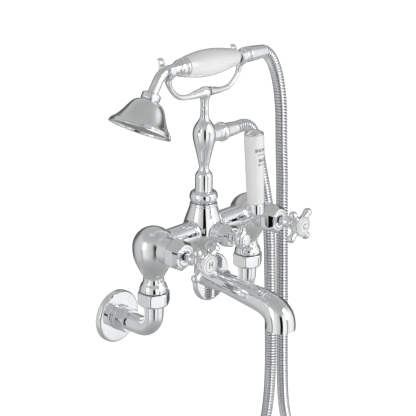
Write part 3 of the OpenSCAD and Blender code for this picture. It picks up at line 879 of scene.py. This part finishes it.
def bulb_stations():
    """Stations [r, z] of a pillar, from its slim neck to the top of the bulb."""
    across, high = 25.4, 25.2
    below = [
        (12.7, 66), (13.2, 72.4), (16.1, 77.9), (19.3, 84.3), (22.2, 91), (24.3, 97.7), (25.3, 104),
    ]
    above = [
        (across * cos(radians(a)), VALVE_Z + high * sin(radians(a)))
        for a in range(0, 90, 6)
    ]
    return np.array(below + above + [(0, VALVE_Z + high)])


def pillar(side, x):
    """Pillar cast in one with its valve neck and the stub of the cross tube."""
    inward = -1 if x > 0 else 1
    form = joined(
        5,
        revolved(upright(x), smooth_through(bulb_stations(), 90)),
        bar((x, -REACH, VALVE_Z), (x, -BONNET_D + 17.2, VALVE_Z), NECK_R, NECK_R),
        bar((x, -REACH, VALVE_Z), (x + inward * 22, -REACH, VALVE_Z), CROSS_R, CROSS_R),
    )
    stub = [(CROSS_R + 0.1, 20, 0), (CROSS_R + 0.1, 31, 0)]
    neck = [
        (NECK_R, 74, 0), (NECK_R, HEXAGON_D - 1.4, 0.3), (15, HEXAGON_D - 1.3, 0.2),
        (15, HEXAGON_D + 0.2, 0),
    ]
    collar = [
        (15.2, 53, 0), (17.1, 53.1, 0.5), (17.5, 54.4, 0.8), (17.3, 57.6, 1.6), (15.6, 61.6, 3),
        (13.2, 65, 3), (12.75, 69.5, 3), (13, 71.5, 0),
    ]
    make(
        side + "pillar_cast",
        [
            cast(form, (x - 40, -BONNET_D - 3, 62), (x + 40, -REACH + 30, VALVE_Z + 29)),
            turned(neck, out_of_wall(x, VALVE_Z)),
            turned(stub, sideways(x, inward)),
        ],
        CAST_CHROME, "chrome", "mixer", side + "pillar",
    )
    plated(side + "pillar_collar", [turned(collar, upright(x))], "mixer")


def valve(side, x, letter):
    """Bonnet, cross handle and the marked porcelain button in its middle."""
    place = out_of_wall(x, VALVE_Z)
    front = HEXAGON_D + 17.5
    bonnet = [
        (13.8, HEXAGON_D, 0), (17, HEXAGON_D + 0.1, 0.5), (19.6, HEXAGON_D + 1.8, 0.7),
        (20.2, front - 5, 0.5), (14.9, front + 0.4, 0.5), (12, front + 0.8, 0.4),
        (11.2, front + 1, 0.3), (10.6, front + 1.6, 0.4), (7.2, front + 1.6, 0.3),
        (6.9, front - 2, 0.3), (5.7, front - 2.2, 0),
    ]
    flats = [(HEXAGON_D, BONNET_AF), (front - 5, BONNET_AF), (front + 0.4, 25.6), (front + 0.8, 40)]
    hexagon = nut(flats, bonnet, place, radians(2))
    plated(side + "bonnet_hexagon", [hexagon], "mixer", side + "bonnet")
    hub = [
        (6.4, 128.2), (7.7, 129.6), (7.8, 132), (7.2, 135), (7.5, 139), (9, 143.6), (10.6, 148),
        (11, ARMS_D), (11, 155),
    ]
    fields = [revolved(place, smooth_through(hub, 60))]
    for quarter in range(4):
        arm = place @ Matrix.Translation((0, 0, ARMS_D - 1))
        arm = arm @ Matrix.Rotation(radians(ARMS_TURN + 90 * quarter), 4, "Z")
        along = [arm @ Vector((distance, 0, 0)) for distance in (6, 14, 17.5, ARMS_R)]
        fields.append(strand(along[:3], [6.2, 4.9, 4.5], 0.8))
        fields.append(ball(along[3], 5.6))
    centre = place @ Vector((0, 0, 141))
    cross = joined(1.4, *fields)
    reach = 30
    low, high = centre - Vector((reach, 20, reach)), centre + Vector((reach, 17, reach))
    ring = [
        (10.2, ARMS_D, 0), (11, ARMS_D + 1.2, 0.6), (13.2, ARMS_D + 3, 0.7),
        (13.7, ARMS_D + 4.4, 0.5), (13.5, ARMS_D + 6, 0.5), (12.2, ARMS_D + 6.1, 0.4),
        (12, ARMS_D + 4.2, 0.2), (9, ARMS_D + 4, 0),
    ]
    plated(
        side + "cross",
        [
            cast(cross, low, high, 0.9),
            turned(ring, place, 96),
        ],
        side + "handle", side + "cross_handle",
    )
    face = ARMS_D + 4.1
    button = [
        (6, face, 0), (11.5, face, 0.3), (11.8, face + 1.4, 0.6), (11, face + 2.7, 0.9),
        (9, face + 3.3, 1), (4, face + 3.6, 1.5), (0.3, face + 3.65, 0),
    ]
    make(
        side + "index", [turned(button, place, 96)],
        PORCELAIN, "porcelain", side + "handle", side + "index_button",
    )
    printed = [
        (8.4, face + 3.0, 0), (8.4, face + 3.5, 0), (8.8, face + 3.46, 0), (8.8, face + 3.0, 0),
    ]
    make(
        side + "index_ring", [turned(printed, place, 96, loop=True)],
        PALE_INK, "porcelain", side + "handle",
    )
    on_face = place @ Matrix.Translation((0, 0, face + 3.6))
    lettering(side + "letter", letter, on_face, 10.5, side + "handle", PALE_INK)


def lettering(name, words, place, size, body, ink):
    """Flat letters whose middle is at the place, with their face along its +Z."""
    text = bpy.data.curves.new(name, "FONT")
    text.body = words
    text.size = size * MM
    text.align_x, text.align_y = "CENTER", "CENTER"
    text.extrude = 0.15 * MM
    text.offset = 0.02 * size * MM
    flat = placed(name + "_text", text)
    mesh = bpy.data.meshes.new_from_object(flat)
    bpy.data.objects.remove(flat)
    bpy.data.curves.remove(text)
    mesh.transform(Matrix.Translation(place.translation * MM) @ place.to_3x3().to_4x4())
    mesh.materials.clear()
    mesh.materials.append(ink)
    piece = placed(name, mesh)
    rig.ride(piece, body)
    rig.slot(piece, "porcelain")
    return piece


# --- body and spout ---


def centre_body():
    """Body with its cone, the sockets of the cross tubes and the diverter boss."""
    stations = [
        (13.6, 74), (14.4, 80), (16.3, 88), (20.2, 94.5), (24, 101), (25.9, 108), (25.7, 114),
        (24.2, 120.5), (20.7, 131), (17.4, 141), (16.9, 143),
    ]
    form = joined(
        2.5,
        revolved(upright(0), smooth_through(stations, 70)),
        bar((-24, -REACH, VALVE_Z), (24, -REACH, VALVE_Z), CROSS_R, CROSS_R),
        bar((0, -REACH, VALVE_Z), (0, -DIVERTER_D + 13, VALVE_Z), 12.6, 12.6),
    )
    neck = [
        (12, 138, 0), (17.3, 140.4, 0.3), (17.6, 142.2, 0.7), (17.2, 143.9, 0.5),
        (16.2, 144.1, 0.2), (16.1, 144.9, 0.2), (13.3, 145, 0), (13.2, 150, 0),
    ]
    column = [
        (9.1, 60, 0), (10.6, 60.1, 0.4), (11.4, 61.2, 0.8), (13.1, 63, 1.2), (13.9, 70, 2),
        (14.3, 78, 0),
    ]
    boss = [(12.6, 86, 0), (12.6, DIVERTER_D - 0.7, 0.5), (11.8, DIVERTER_D - 0.1, 0)]
    plated(
        "body_cast",
        [
            cast(form, (-40, -DIVERTER_D - 2, 70), (40, -REACH + 31, 147)),
            turned(neck, upright(0)),
            turned(column, upright(0)),
            turned(boss, out_of_wall(0, VALVE_Z)),
        ],
        "mixer", "centre_body",
    )
    tube = [
        (9, 27, 0), (CROSS_R + 0.1, 27, 0.2), (CROSS_R + 0.15, 28, 0.3),
        (CROSS_R + 0.15, 62, 0.3), (CROSS_R + 0.1, 63, 0.2), (9, 63, 0),
    ]
    tubes = [turned(tube, sideways(0, way)) for way in (-1, 1)]
    plated("body_tubes", tubes, "mixer", "cross_tubes")


def spout():
    """Spout that swells from its root, falls a little and turns down into the outlet."""
    stations = [
        (68.5, 49, 9.8), (90, 46.4, 10.9), (110, 44.6, 11.9), (130, 42.9, 13.1), (147, 41.5, 14.2),
        (160, 40.4, 15), (170, 38.8, 15.5), (179.3, 36, 16.3), (187, 31.7, 17.4), (191.9, 26, 18.2),
        (193.9, 19.5, 18.6), (SPOUT_D, SPOUT_Z, 18.8),
    ]
    form = smooth_through(stations, 110)
    path = [Vector((0, -d, z)) for d, z, _ in form]
    radii = [r for _, _, r in form]
    lip = radii[-1]
    inside = [
        (-0.25, lip - 0.5), (-0.1, lip - 1.6), (0.6, lip - 2.6), (2.5, lip - 2.9), (9, lip - 3.1),
    ]
    rows = sweep_rows(path, radii, 72)
    rows += lip_rows(rows[-1], path[-1], inside)
    upper = [(10.9, SPOUT_ROOT_Z, 0), (10.9, 58.4, 0.4), (10.2, 59.1, 0)]
    bottom = [
        (11 * cos(radians(a)), SPOUT_ROOT_Z - 11 * sin(radians(a)), 0)
        for a in range(88, 0, -8)
    ]
    plated("spout_cast", [grid(rows), turned(bottom + upper, upright(0))], "mixer", "spout")


def lip_rows(ring, centre, inside):
    """Rings that follow ring over the lip and up into the outlet."""
    rows = []
    for z, radius in inside:
        rise = centre + Vector((0, 0, z))
        rows.append([rise + (p - centre).normalized() * radius for p in ring])
    return rows


# --- diverter ---


def diverter():
    """Diverter nut with the porcelain lever on its bent arm."""
    place = out_of_wall(0, VALVE_Z)
    front = DIVERTER_D + 14
    hexagon = [
        (12.2, DIVERTER_D, 0), (14.2, DIVERTER_D + 0.1, 0.4), (15.8, DIVERTER_D + 1.8, 0.8),
        (16, front - 4.5, 0.7), (12, front - 0.3, 0.6), (9, front, 0.3), (7.4, front + 2.8, 0.5),
        (5.7, front + 3, 0),
    ]
    flats = [(DIVERTER_D, 27.5), (front - 4.5, 27.5), (front - 0.3, 21), (front, 30)]
    made = nut(flats, hexagon, place, radians(12))
    plated("diverter_hexagon", [made], "mixer", "diverter_nut")
    turn = radians(62)
    foot = Vector((0, -131.8, VALVE_Z + 7))
    path = [foot, foot + Vector((0, 0, 8))]
    first = path[-1] + Vector((0, -12, 0))
    path += [first + 12 * Vector((0, cos(t), sin(t))) for t in np.linspace(0.15, turn, 6)]
    way = Vector((0, -sin(turn), cos(turn)))
    path.append(path[-1] + way * 9.8)
    second = path[-1] + 9 * Vector((0, cos(turn), sin(turn)))
    path += [second - 9 * Vector((0, cos(t), sin(t))) for t in np.linspace(turn - 0.15, 0, 6)]
    path.append(path[-1] + Vector((0, 0, 4)))
    radii = [4.4, 4.1] + [3.9] * (len(path) - 3) + [4.6]
    hub = [
        (5.2, 124.2), (6.8, 124.8), (8.6, 126.6), (11, 129), (11.6, 132), (11, 135.2), (9.4, 137),
    ]
    form = joined(2.4, revolved(place, smooth_through(hub, 40)), strand(path, radii, 0.5))
    plated(
        "lever_cast", [cast(form, (-15, -164, 94), (15, -118, 162), 0.9)],
        "diverter_lever", "lever_arm",
    )
    cap = [
        (9.1, 136.6, 0), (9.3, 137.8, 0.4), (8.6, 139.2, 0.8), (6.4, 140.6, 1.2), (3, 141.2, 1),
        (0.3, 141.3, 0),
    ]
    plated("lever_cap", [turned(cap, place)], "diverter_lever", "lever_cap_screw")
    porcelain_lever(on_lever())


def porcelain_lever(stem):
    """Ferrule, porcelain with its marks, and chrome top of the lever."""
    ferrule = [
        (4, -14.8, 0), (8.2, -14.6, 0.8), (10.1, -12.8, 1), (10.5, -9, 3), (10.5, -1.2, 0.6),
        (10.1, -0.1, 0.2), (6, 0, 0),
    ]
    plated("lever_ferrule_plated", [turned(ferrule, stem, 96)], "diverter_lever", "lever_ferrule")
    handle = [
        (6, 0.1, 0), (LEVER_R - 0.6, 0.15, 0.3), (LEVER_R, 1, 0.6),
        (LEVER_R + LEVER_GROWS, LEVER_LEN - 1.5, 0.8), (11.4, LEVER_LEN - 0.1, 0.3),
        (6, LEVER_LEN, 0),
    ]
    make(
        "lever_porcelain", [turned(handle, stem, 96)],
        PORCELAIN, "porcelain", "diverter_lever", "porcelain_lever",
    )
    top = [
        (6, LEVER_LEN + 0.1, 0), (11.5, LEVER_LEN + 0.15, 0.3), (11.8, LEVER_LEN + 1, 0.4),
        (10.7, LEVER_LEN + 2.2, 0.8), (6.8, LEVER_LEN + 4.4, 1.5), (2.8, LEVER_LEN + 5.9, 1.2),
        (0.3, LEVER_LEN + 6.1, 0),
    ]
    plated("lever_cap_top", [turned(top, stem, 96)], "diverter_lever", "lever_top")
    lever_marks(stem)


def lever_marks(stem):
    """Generic SHOWER and BATH marks with their arrows, wrapped round the lever."""
    for words, height, arrow in (("SHOWER", 66, 1), ("BATH", 54, -1)):
        name = "lever_" + words.lower()
        piece = lettering(name, words, Matrix.Identity(4), 5.2, "diverter_lever", INK)
        wrap(piece, stem, height)
        shaft, thick, out = 7.6, 0.3, 0.15
        outline = [(u, thick) for u in np.linspace(-shaft, shaft - 2.4, 14)]
        outline += [(shaft - 2.3, 1.1), (shaft - 1.2, 0.6), (shaft, 0.05)]
        corners = ((1, out), (-1, out), (-1, -out), (1, -out))
        rows = [
            [Vector((arrow * u, edge * half, level)) for edge, level in corners]
            for u, half in outline
        ]
        mark = make(name + "_arrow", [grid(rows)], INK, "porcelain", "diverter_lever")
        wrap(mark, stem, height - 5)


def wrap(piece, stem, height):
    """Bends a flat mark round the lever at a height, facing almost straight out of the wall."""
    facing = radians(-84)
    for vertex in piece.data.vertices:
        across, up, out = vertex.co / MM
        radius = LEVER_R + LEVER_GROWS * height / LEVER_LEN + out
        vertex.co = stem @ polar(radius, facing + across / radius, height + up) * MM
    piece.data.update()


# --- riser and cradle ---


def riser():
    """Riser with its swelling, the nut at its foot and the hose outlet on its side."""
    half = 7.1
    middle = RISER_Z + half + 0.15
    turns = [radians(a) for a in range(-88, 89, 8)]
    curve = [(13.4 + 4.4 * cos(t), middle + half * sin(t), 0) for t in turns]
    bead = [
        (13.3, RISER_Z + 0.1, 0), *curve, (12.6, RISER_Z + 14.2, 0.3), (11.1, RISER_Z + 12.6, 0),
    ]
    plated("riser_bead", [turned(bead, upright(0), 96)], "mixer", "riser_nut")
    stations = [
        (10.9, 150), (10.95, 158), (11, 166), (11, 173), (10.9, 178.5), (10.4, 181), (8.7, 183.6),
        (6.8, 186.4), (6.2, 189.4), (7, 195), (9.2, 205.5), (12.1, 217.5), (14.1, 227), (14.4, 232),
        (13.5, 238), (9.8, 245.6), (6.5, 250.4), (5.3, 254.5), (5.1, 259), (5.05, 262),
    ]
    outline = [*smooth_through(stations, 150), (5.05, 265.2), (4.8, 265.6)]
    barrel = [(9.6, 8, 0), (9.6, 22.4, 0)]
    plated(
        "riser_turned",
        [grid(lathe_rows(outline, upright(0), 96)), turned(barrel, along_x(OUTLET_Z))],
        "mixer", "riser",
    )
    outlet = [
        (9, 21.6, 0), (10.2, 21.7, 0.4), (10.2, 27.6, 0.4), (11.6, 28, 0.5), (12.3, 30, 1.2),
        (12.3, 34.2, 1.6), (10.6, 36.8, 1), (9.6, 37.2, 0.5), (9.2, 45, 3), (8.8, 52.6, 0.4),
        (8, 52.9, 0),
    ]
    plated("outlet_fitting", [turned(outlet, along_x(OUTLET_Z))], "mixer", "hose_outlet")


def fork_field(x):
    """Field of one fork: a strip bent into a U, low in front and flared at its back."""
    half, thick, edge, middle = 4, 3.2, 1.1, 9.6

    def field(points):
        across, up = points[:, 1] + REACH, points[:, 2] - HANDSET_Z
        below = np.abs(np.hypot(across, up) - middle)
        flare = 0.1 * np.maximum(up - 7, 0) ** 2
        beside = np.abs(np.abs(across) - middle - flare)
        above = np.hypot(beside, np.maximum(up - np.where(across < 0, 4.6, 11.4), 0))
        flat = np.where(up < 0, below, above) - thick / 2 + edge
        deep = np.abs(points[:, 0] - x) - half + edge
        outside = np.hypot(np.maximum(flat, 0), np.maximum(deep, 0))
        return outside + np.minimum(np.maximum(flat, deep), 0) - edge

    return field


def cradle():
    """Cradle: a stem that spreads into two curved arms, each with a fork at its end."""
    stem = [(5.05, 268), (5.1, 271), (5.6, 275), (6.6, 279), (7, 283), (5.4, 287), (1.5, 289.3)]
    arm = [
        (0, 283.6), (10, 283.4), (22, 282.5), (34, 282.4), (44, 284), (52, 288.3), (58.5, 294.5),
        (63, 301.5), (FORK_X, 308.5),
    ]
    steps = 26
    radii = np.interp(np.linspace(0, 1, steps), [0, 0.15, 0.4, 0.85, 1], [6.2, 5.2, 3.1, 2.9, 4.1])
    fields = [revolved(upright(0), smooth_through(stem, 50))]
    for side in (-1, 1):
        path = [(side * x, -REACH, z) for x, z in smooth_through(arm, steps)]
        fields += [strand(path, radii, 0.7), fork_field(side * FORK_X)]
    form = joined(2.6, *fields)
    foot = [(4.6, 265.8, 0), (5, 266, 0.2), (5.08, 266.5, 0.2), (5.07, 270.6, 0)]
    plated(
        "cradle_cast",
        [cast(form, (-74, -84, 264), (74, -53, 335), 1.0), turned(foot, upright(0))],
        "cradle", "cradle",
    )


# --- handset ---


def handset():
    """Hand shower: bent neck, rose, porcelain grip and tail."""
    handle = along_x(HANDSET_Z)
    rose = on_rose()
    bend_x, bend, radius = -62, 24, 6.2
    corner = Vector((bend_x, -REACH, HANDSET_Z - bend))
    turn = radians(90 - ROSE_TILT)
    bend_path = [corner + bend * Vector((-sin(t), 0, cos(t))) for t in np.linspace(turn, 0, 30)]
    path = [rose @ Vector((0, 0, ROSE_H + 4)), *bend_path, (bend_x + 4, -REACH, HANDSET_Z)]
    horn = [
        (6.2, bend_x), (6.4, -57.5), (7.2, -53), (8.9, -48.8), (10.2, -45.8), (10.6, -43.5),
        (10.6, -41.3),
    ]
    ring = rounded([
        (10.6, -41.3, 0), (10.4, -40.9, 0.2), (9.5, -40.6, 0.2), (9.5, -39.9, 0.2),
        (11, -39.6, 0.4), (11.7, -38.4, 0.9), (11.7, -36.9, 0.7), (11.1, GRIP_X0 - 0.1, 0.3),
        (6, GRIP_X0, 0),
    ])
    flared = [*smooth_through(horn, 40), *ring[1:]]
    plated(
        "handset_neck_plated",
        [grid(sweep_rows(path, [radius] * len(path), 64)), grid(lathe_rows(flared, handle, 96))],
        "handset", "handset_neck",
    )
    collar = [
        (6.4, ROSE_H + 9.7, 0), (8.6, ROSE_H + 9.6, 0.6), (11.2, ROSE_H + 8, 1),
        (11.4, ROSE_H + 1.6, 1), (10, ROSE_H + 0.1, 0.5), (6.4, ROSE_H, 0),
    ]
    plated("rose_collar", [turned(collar[::-1], rose, 96)], "handset", "rose_nut")
    rim = [
        (ROSE_R - 2.5, 2.6, 0), (ROSE_R - 2.4, 0.4, 0.3), (ROSE_R - 1.4, -0.3, 0.4),
        (ROSE_R - 0.2, -0.3, 0.4), (ROSE_R, 0.5, 0.5), (ROSE_R - 2.1, 5, 0.7),
        (ROSE_R - 3.2, 5.7, 0.5),
    ]
    bell = [
        (34.1, 6.5), (32.3, 8.3), (29.9, 11.3), (27.3, 15.3), (24.6, 20.3), (22, 25.5), (19.2, 30),
        (15.8, 33.3), (11.8, 35.1), (9, ROSE_H),
    ]
    outline = [*rounded(rim), *smooth_through(bell, 70)]
    outline += rounded([
        (8, 35.55, 0), (4.6, 35.5, 0), (7, 32.4, 0), (13.6, 29.4, 1), (18.4, 23.2, 2),
        (22.8, 16, 2), (26.8, 9, 2), (31, 3.2, 0),
    ])
    shell = grid(lathe_rows(outline, rose, 160), loop=True)
    plated("rose_bell_plated", [shell], "handset", "rose_bell")
    length = GRIP_X1 - GRIP_X0 - 0.4
    swell = [
        (12 - 1.5 * t + 5.1 * sin(pi * t**0.9), GRIP_X0 + 0.2 + length * t)
        for t in (k / 40 for k in range(41))
    ]
    bevel, bore = 0.7, 5.6
    start, end = GRIP_X0 + 0.1, GRIP_X1 - 0.1
    grip = [
        (bore, start), (swell[0][0] - bevel, start), *swell, (swell[-1][0] - bevel, end),
        (bore, end),
    ]
    make(
        "grip_porcelain", [grid(lathe_rows(grip, handle, 96))],
        PORCELAIN, "porcelain", "handset", "porcelain_grip",
    )
    tail = [
        (5.6, GRIP_X1 + 0.1, 0), (9.2, GRIP_X1 + 0.1, 0.3), (9.4, GRIP_X1 + 1, 0.4),
        (8.6, GRIP_X1 + 2, 0.5), (7.1, GRIP_X1 + 3.4, 1), (6.9, 66, 2), (6.9, 69, 0.5),
        (9, 70.2, 0.5), (9.7, 72, 0.8), (9.6, 74.6, 0.8), (8.9, 76.2, 0.4),
        (8.9, TAIL_X - 0.2, 0.3), (6, TAIL_X, 0),
    ]
    plated("handset_tail_plated", [turned(tail, handle, 96)], "handset", "handset_tail")


# --- what stays from the CAD ---


def finish_cad_nodes():
    """Gives each CAD node that is still shown its material."""
    kept = (
        (RUBBER, ("inlet_washers", "riser_washers", "handset_washers", "o_rings")),
        (CERAMIC, ("fixed_discs", "hot_moving_disc", "cold_moving_disc", "diverter_disc")),
        (PLASTIC, ("flow_straightener",)),
        (CHROME, ("spray_plate", "hot_handle_screw", "cold_handle_screw")),
        (CHROME, ("hot_spindle", "cold_spindle", "diverter_spindle")),
        (BRASS, ("hot_cartridge", "cold_cartridge", "diverter_cartridge")),
        (BRASS, ("lever_rod", "grip_tube")),
    )
    for material, names in kept:
        for name in names:
            slots = frame["nodes"][name].data.materials
            slots.clear()
            slots.append(material)


# --- studio ---


def pale_floor():
    """Matt floor, far larger than the view, that gives back some of its light."""
    material, tree, shader = surface("pale_floor")
    colour = ramp(tree, noise(tree, 3, 3), ((0.3, grey(0.98)), (0.7, grey(1))))
    glow = {"Emission Color": (1, 1, 1, 1), "Emission Strength": 0.6}
    feed(shader, {"Base Color": colour, "Roughness": 0.9, **glow})
    half = 30
    mesh = bpy.data.meshes.new("floor")
    corners = [(a * half, b * half, FLOOR_Z) for a, b in ((-1, -1), (1, -1), (1, 1), (-1, 1))]
    mesh.from_pydata(corners, [], [[0, 1, 2, 3]])
    mesh.materials.append(material)
    floor = placed("floor", mesh)
    floor.visible_glossy = False
    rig.stage(floor)


def softbox(name, place, target, width, height, power):
    """Rectangular area light that faces the target."""
    light = bpy.data.lights.new(name, "AREA")
    light.shape = "RECTANGLE"
    light.size, light.size_y = width, height
    light.energy = power
    box = placed(name, light)
    way = Vector(target) - Vector(place)
    box.matrix_world = Matrix.Translation(place) @ way.to_track_quat("-Z", "Y").to_matrix().to_4x4()


def bearing(right_of_camera, distance, height):
    """Place at an angle in degrees to the right of the camera, seen from the object."""
    turn = radians(CAMERA_AZIMUTH - right_of_camera)
    return Vector((-sin(turn) * distance, -cos(turn) * distance, height))


def studio():
    """White room: pale floor, surround and two soft boxes."""
    pale_floor()
    surround()
    softbox("key", bearing(62, 1.6, 0.9), (0, -0.07, 0.12), 0.9, 1.2, 9)
    softbox("fill", bearing(-50, 1.8, 0.5), (0, -0.07, 0.12), 0.8, 1.2, 1.5)
    bpy.context.scene.view_settings.view_transform = "Standard"


def surround():
    """White surround that the chrome reflects as bright panels with darker flags between them."""
    world = bpy.data.worlds.new("studio")
    bpy.context.scene.world = world
    world.use_nodes = True
    tree = world.node_tree
    facing = tree.nodes.new("ShaderNodeTexCoord").outputs["Generated"]
    split = add(tree, "SeparateXYZ", {"Vector": facing}).outputs
    angle = arithmetic(tree, "ARCTAN2", split["Y"], split["X"])
    azimuth = radians(CAMERA_AZIMUTH)
    camera_bearing = atan2(-cos(azimuth), -sin(azimuth))
    relative = arithmetic(tree, "SUBTRACT", angle, camera_bearing)
    wrapped = arithmetic(tree, "WRAP", relative, pi, -pi)
    share = add(tree, "MapRange", {"From Min": -pi, "From Max": pi, "Value": wrapped})
    height = add(tree, "MapRange", {"From Min": -1, "From Max": 1, "Value": split["Z"]})
    around = ramp(tree, share.outputs["Result"], greys(AROUND))
    upwards = ramp(tree, height.outputs["Result"], greys(UPWARDS))
    flags = ramp(tree, height.outputs["Result"], greys(FLAG_HEIGHT))
    mixed = add(tree, "Mix", {"Factor": flags, "A": upwards, "B": around}, data_type="RGBA")
    seen = tree.nodes.new("ShaderNodeLightPath").outputs["Is Camera Ray"]
    sides = {"A": mixed.outputs["Result"], "B": (1, 1, 1, 1)}
    white = add(tree, "Mix", {"Factor": seen, **sides}, data_type="RGBA")
    feed(tree.nodes["Background"], {"Color": white.outputs["Result"]})


def arithmetic(tree, operation, *values):
    """Output of a Math node."""
    return add(tree, "Math", dict(enumerate(values)), operation=operation).outputs[0]


def greys(stops):
    return [(share, grey(tone)) for share, tone in stops]


def turned_share(degrees):
    """Share of the round view, which starts behind the object, for degrees right of the camera."""
    return (degrees + 180) / 360


# Brightness round the horizon, by degrees to the right of the camera.
AROUND = [
    (turned_share(degrees), tone)
    for degrees, tone in (
        (-180, 0.25), (-155, 0.1), (-130, 0.13), (-116, 0.5), (-95, 0.6), (-70, 0.68), (-67, 0.25),
        (-61, 0.25), (-57, 0.95), (-35, 0.85), (-12, 0.6), (-3, 0.6), (-1, 0.003), (17, 0.003),
        (19, 1.0), (46, 1.0), (49, 0.28), (55, 0.3), (58, 0.95), (90, 1.0), (116, 0.8), (130, 0.15),
        (155, 0.1), (180, 0.25),
    )
]
# Brightness from straight down to straight up.
UPWARDS = [
    (0, 0.34), (0.1, 0.42), (0.25, 0.52), (0.5, 0.85), (0.68, 0.8), (0.78, 0.55), (0.88, 0.46),
    (1, 0.42),
]
# How far the round view counts, from straight down to straight up.
FLAG_HEIGHT = [(0, 0), (0.16, 0), (0.3, 1), (0.68, 1), (0.8, 0)]


camera()
hose()
for side, x, letter in SIDES:
    wall_side(side, x)
    pillar(side, x)
    valve(side, x, letter)
centre_body()
spout()
diverter()
riser()
cradle()
handset()
finish_cad_nodes()
studio()

with open("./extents.json", "w") as sizes:
    boxes = {"cad": CAD_BOX, "visual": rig.bounds()}
    json.dump({name: [list(map(float, corner)) for corner in box] for name, box in boxes.items()}, sizes)
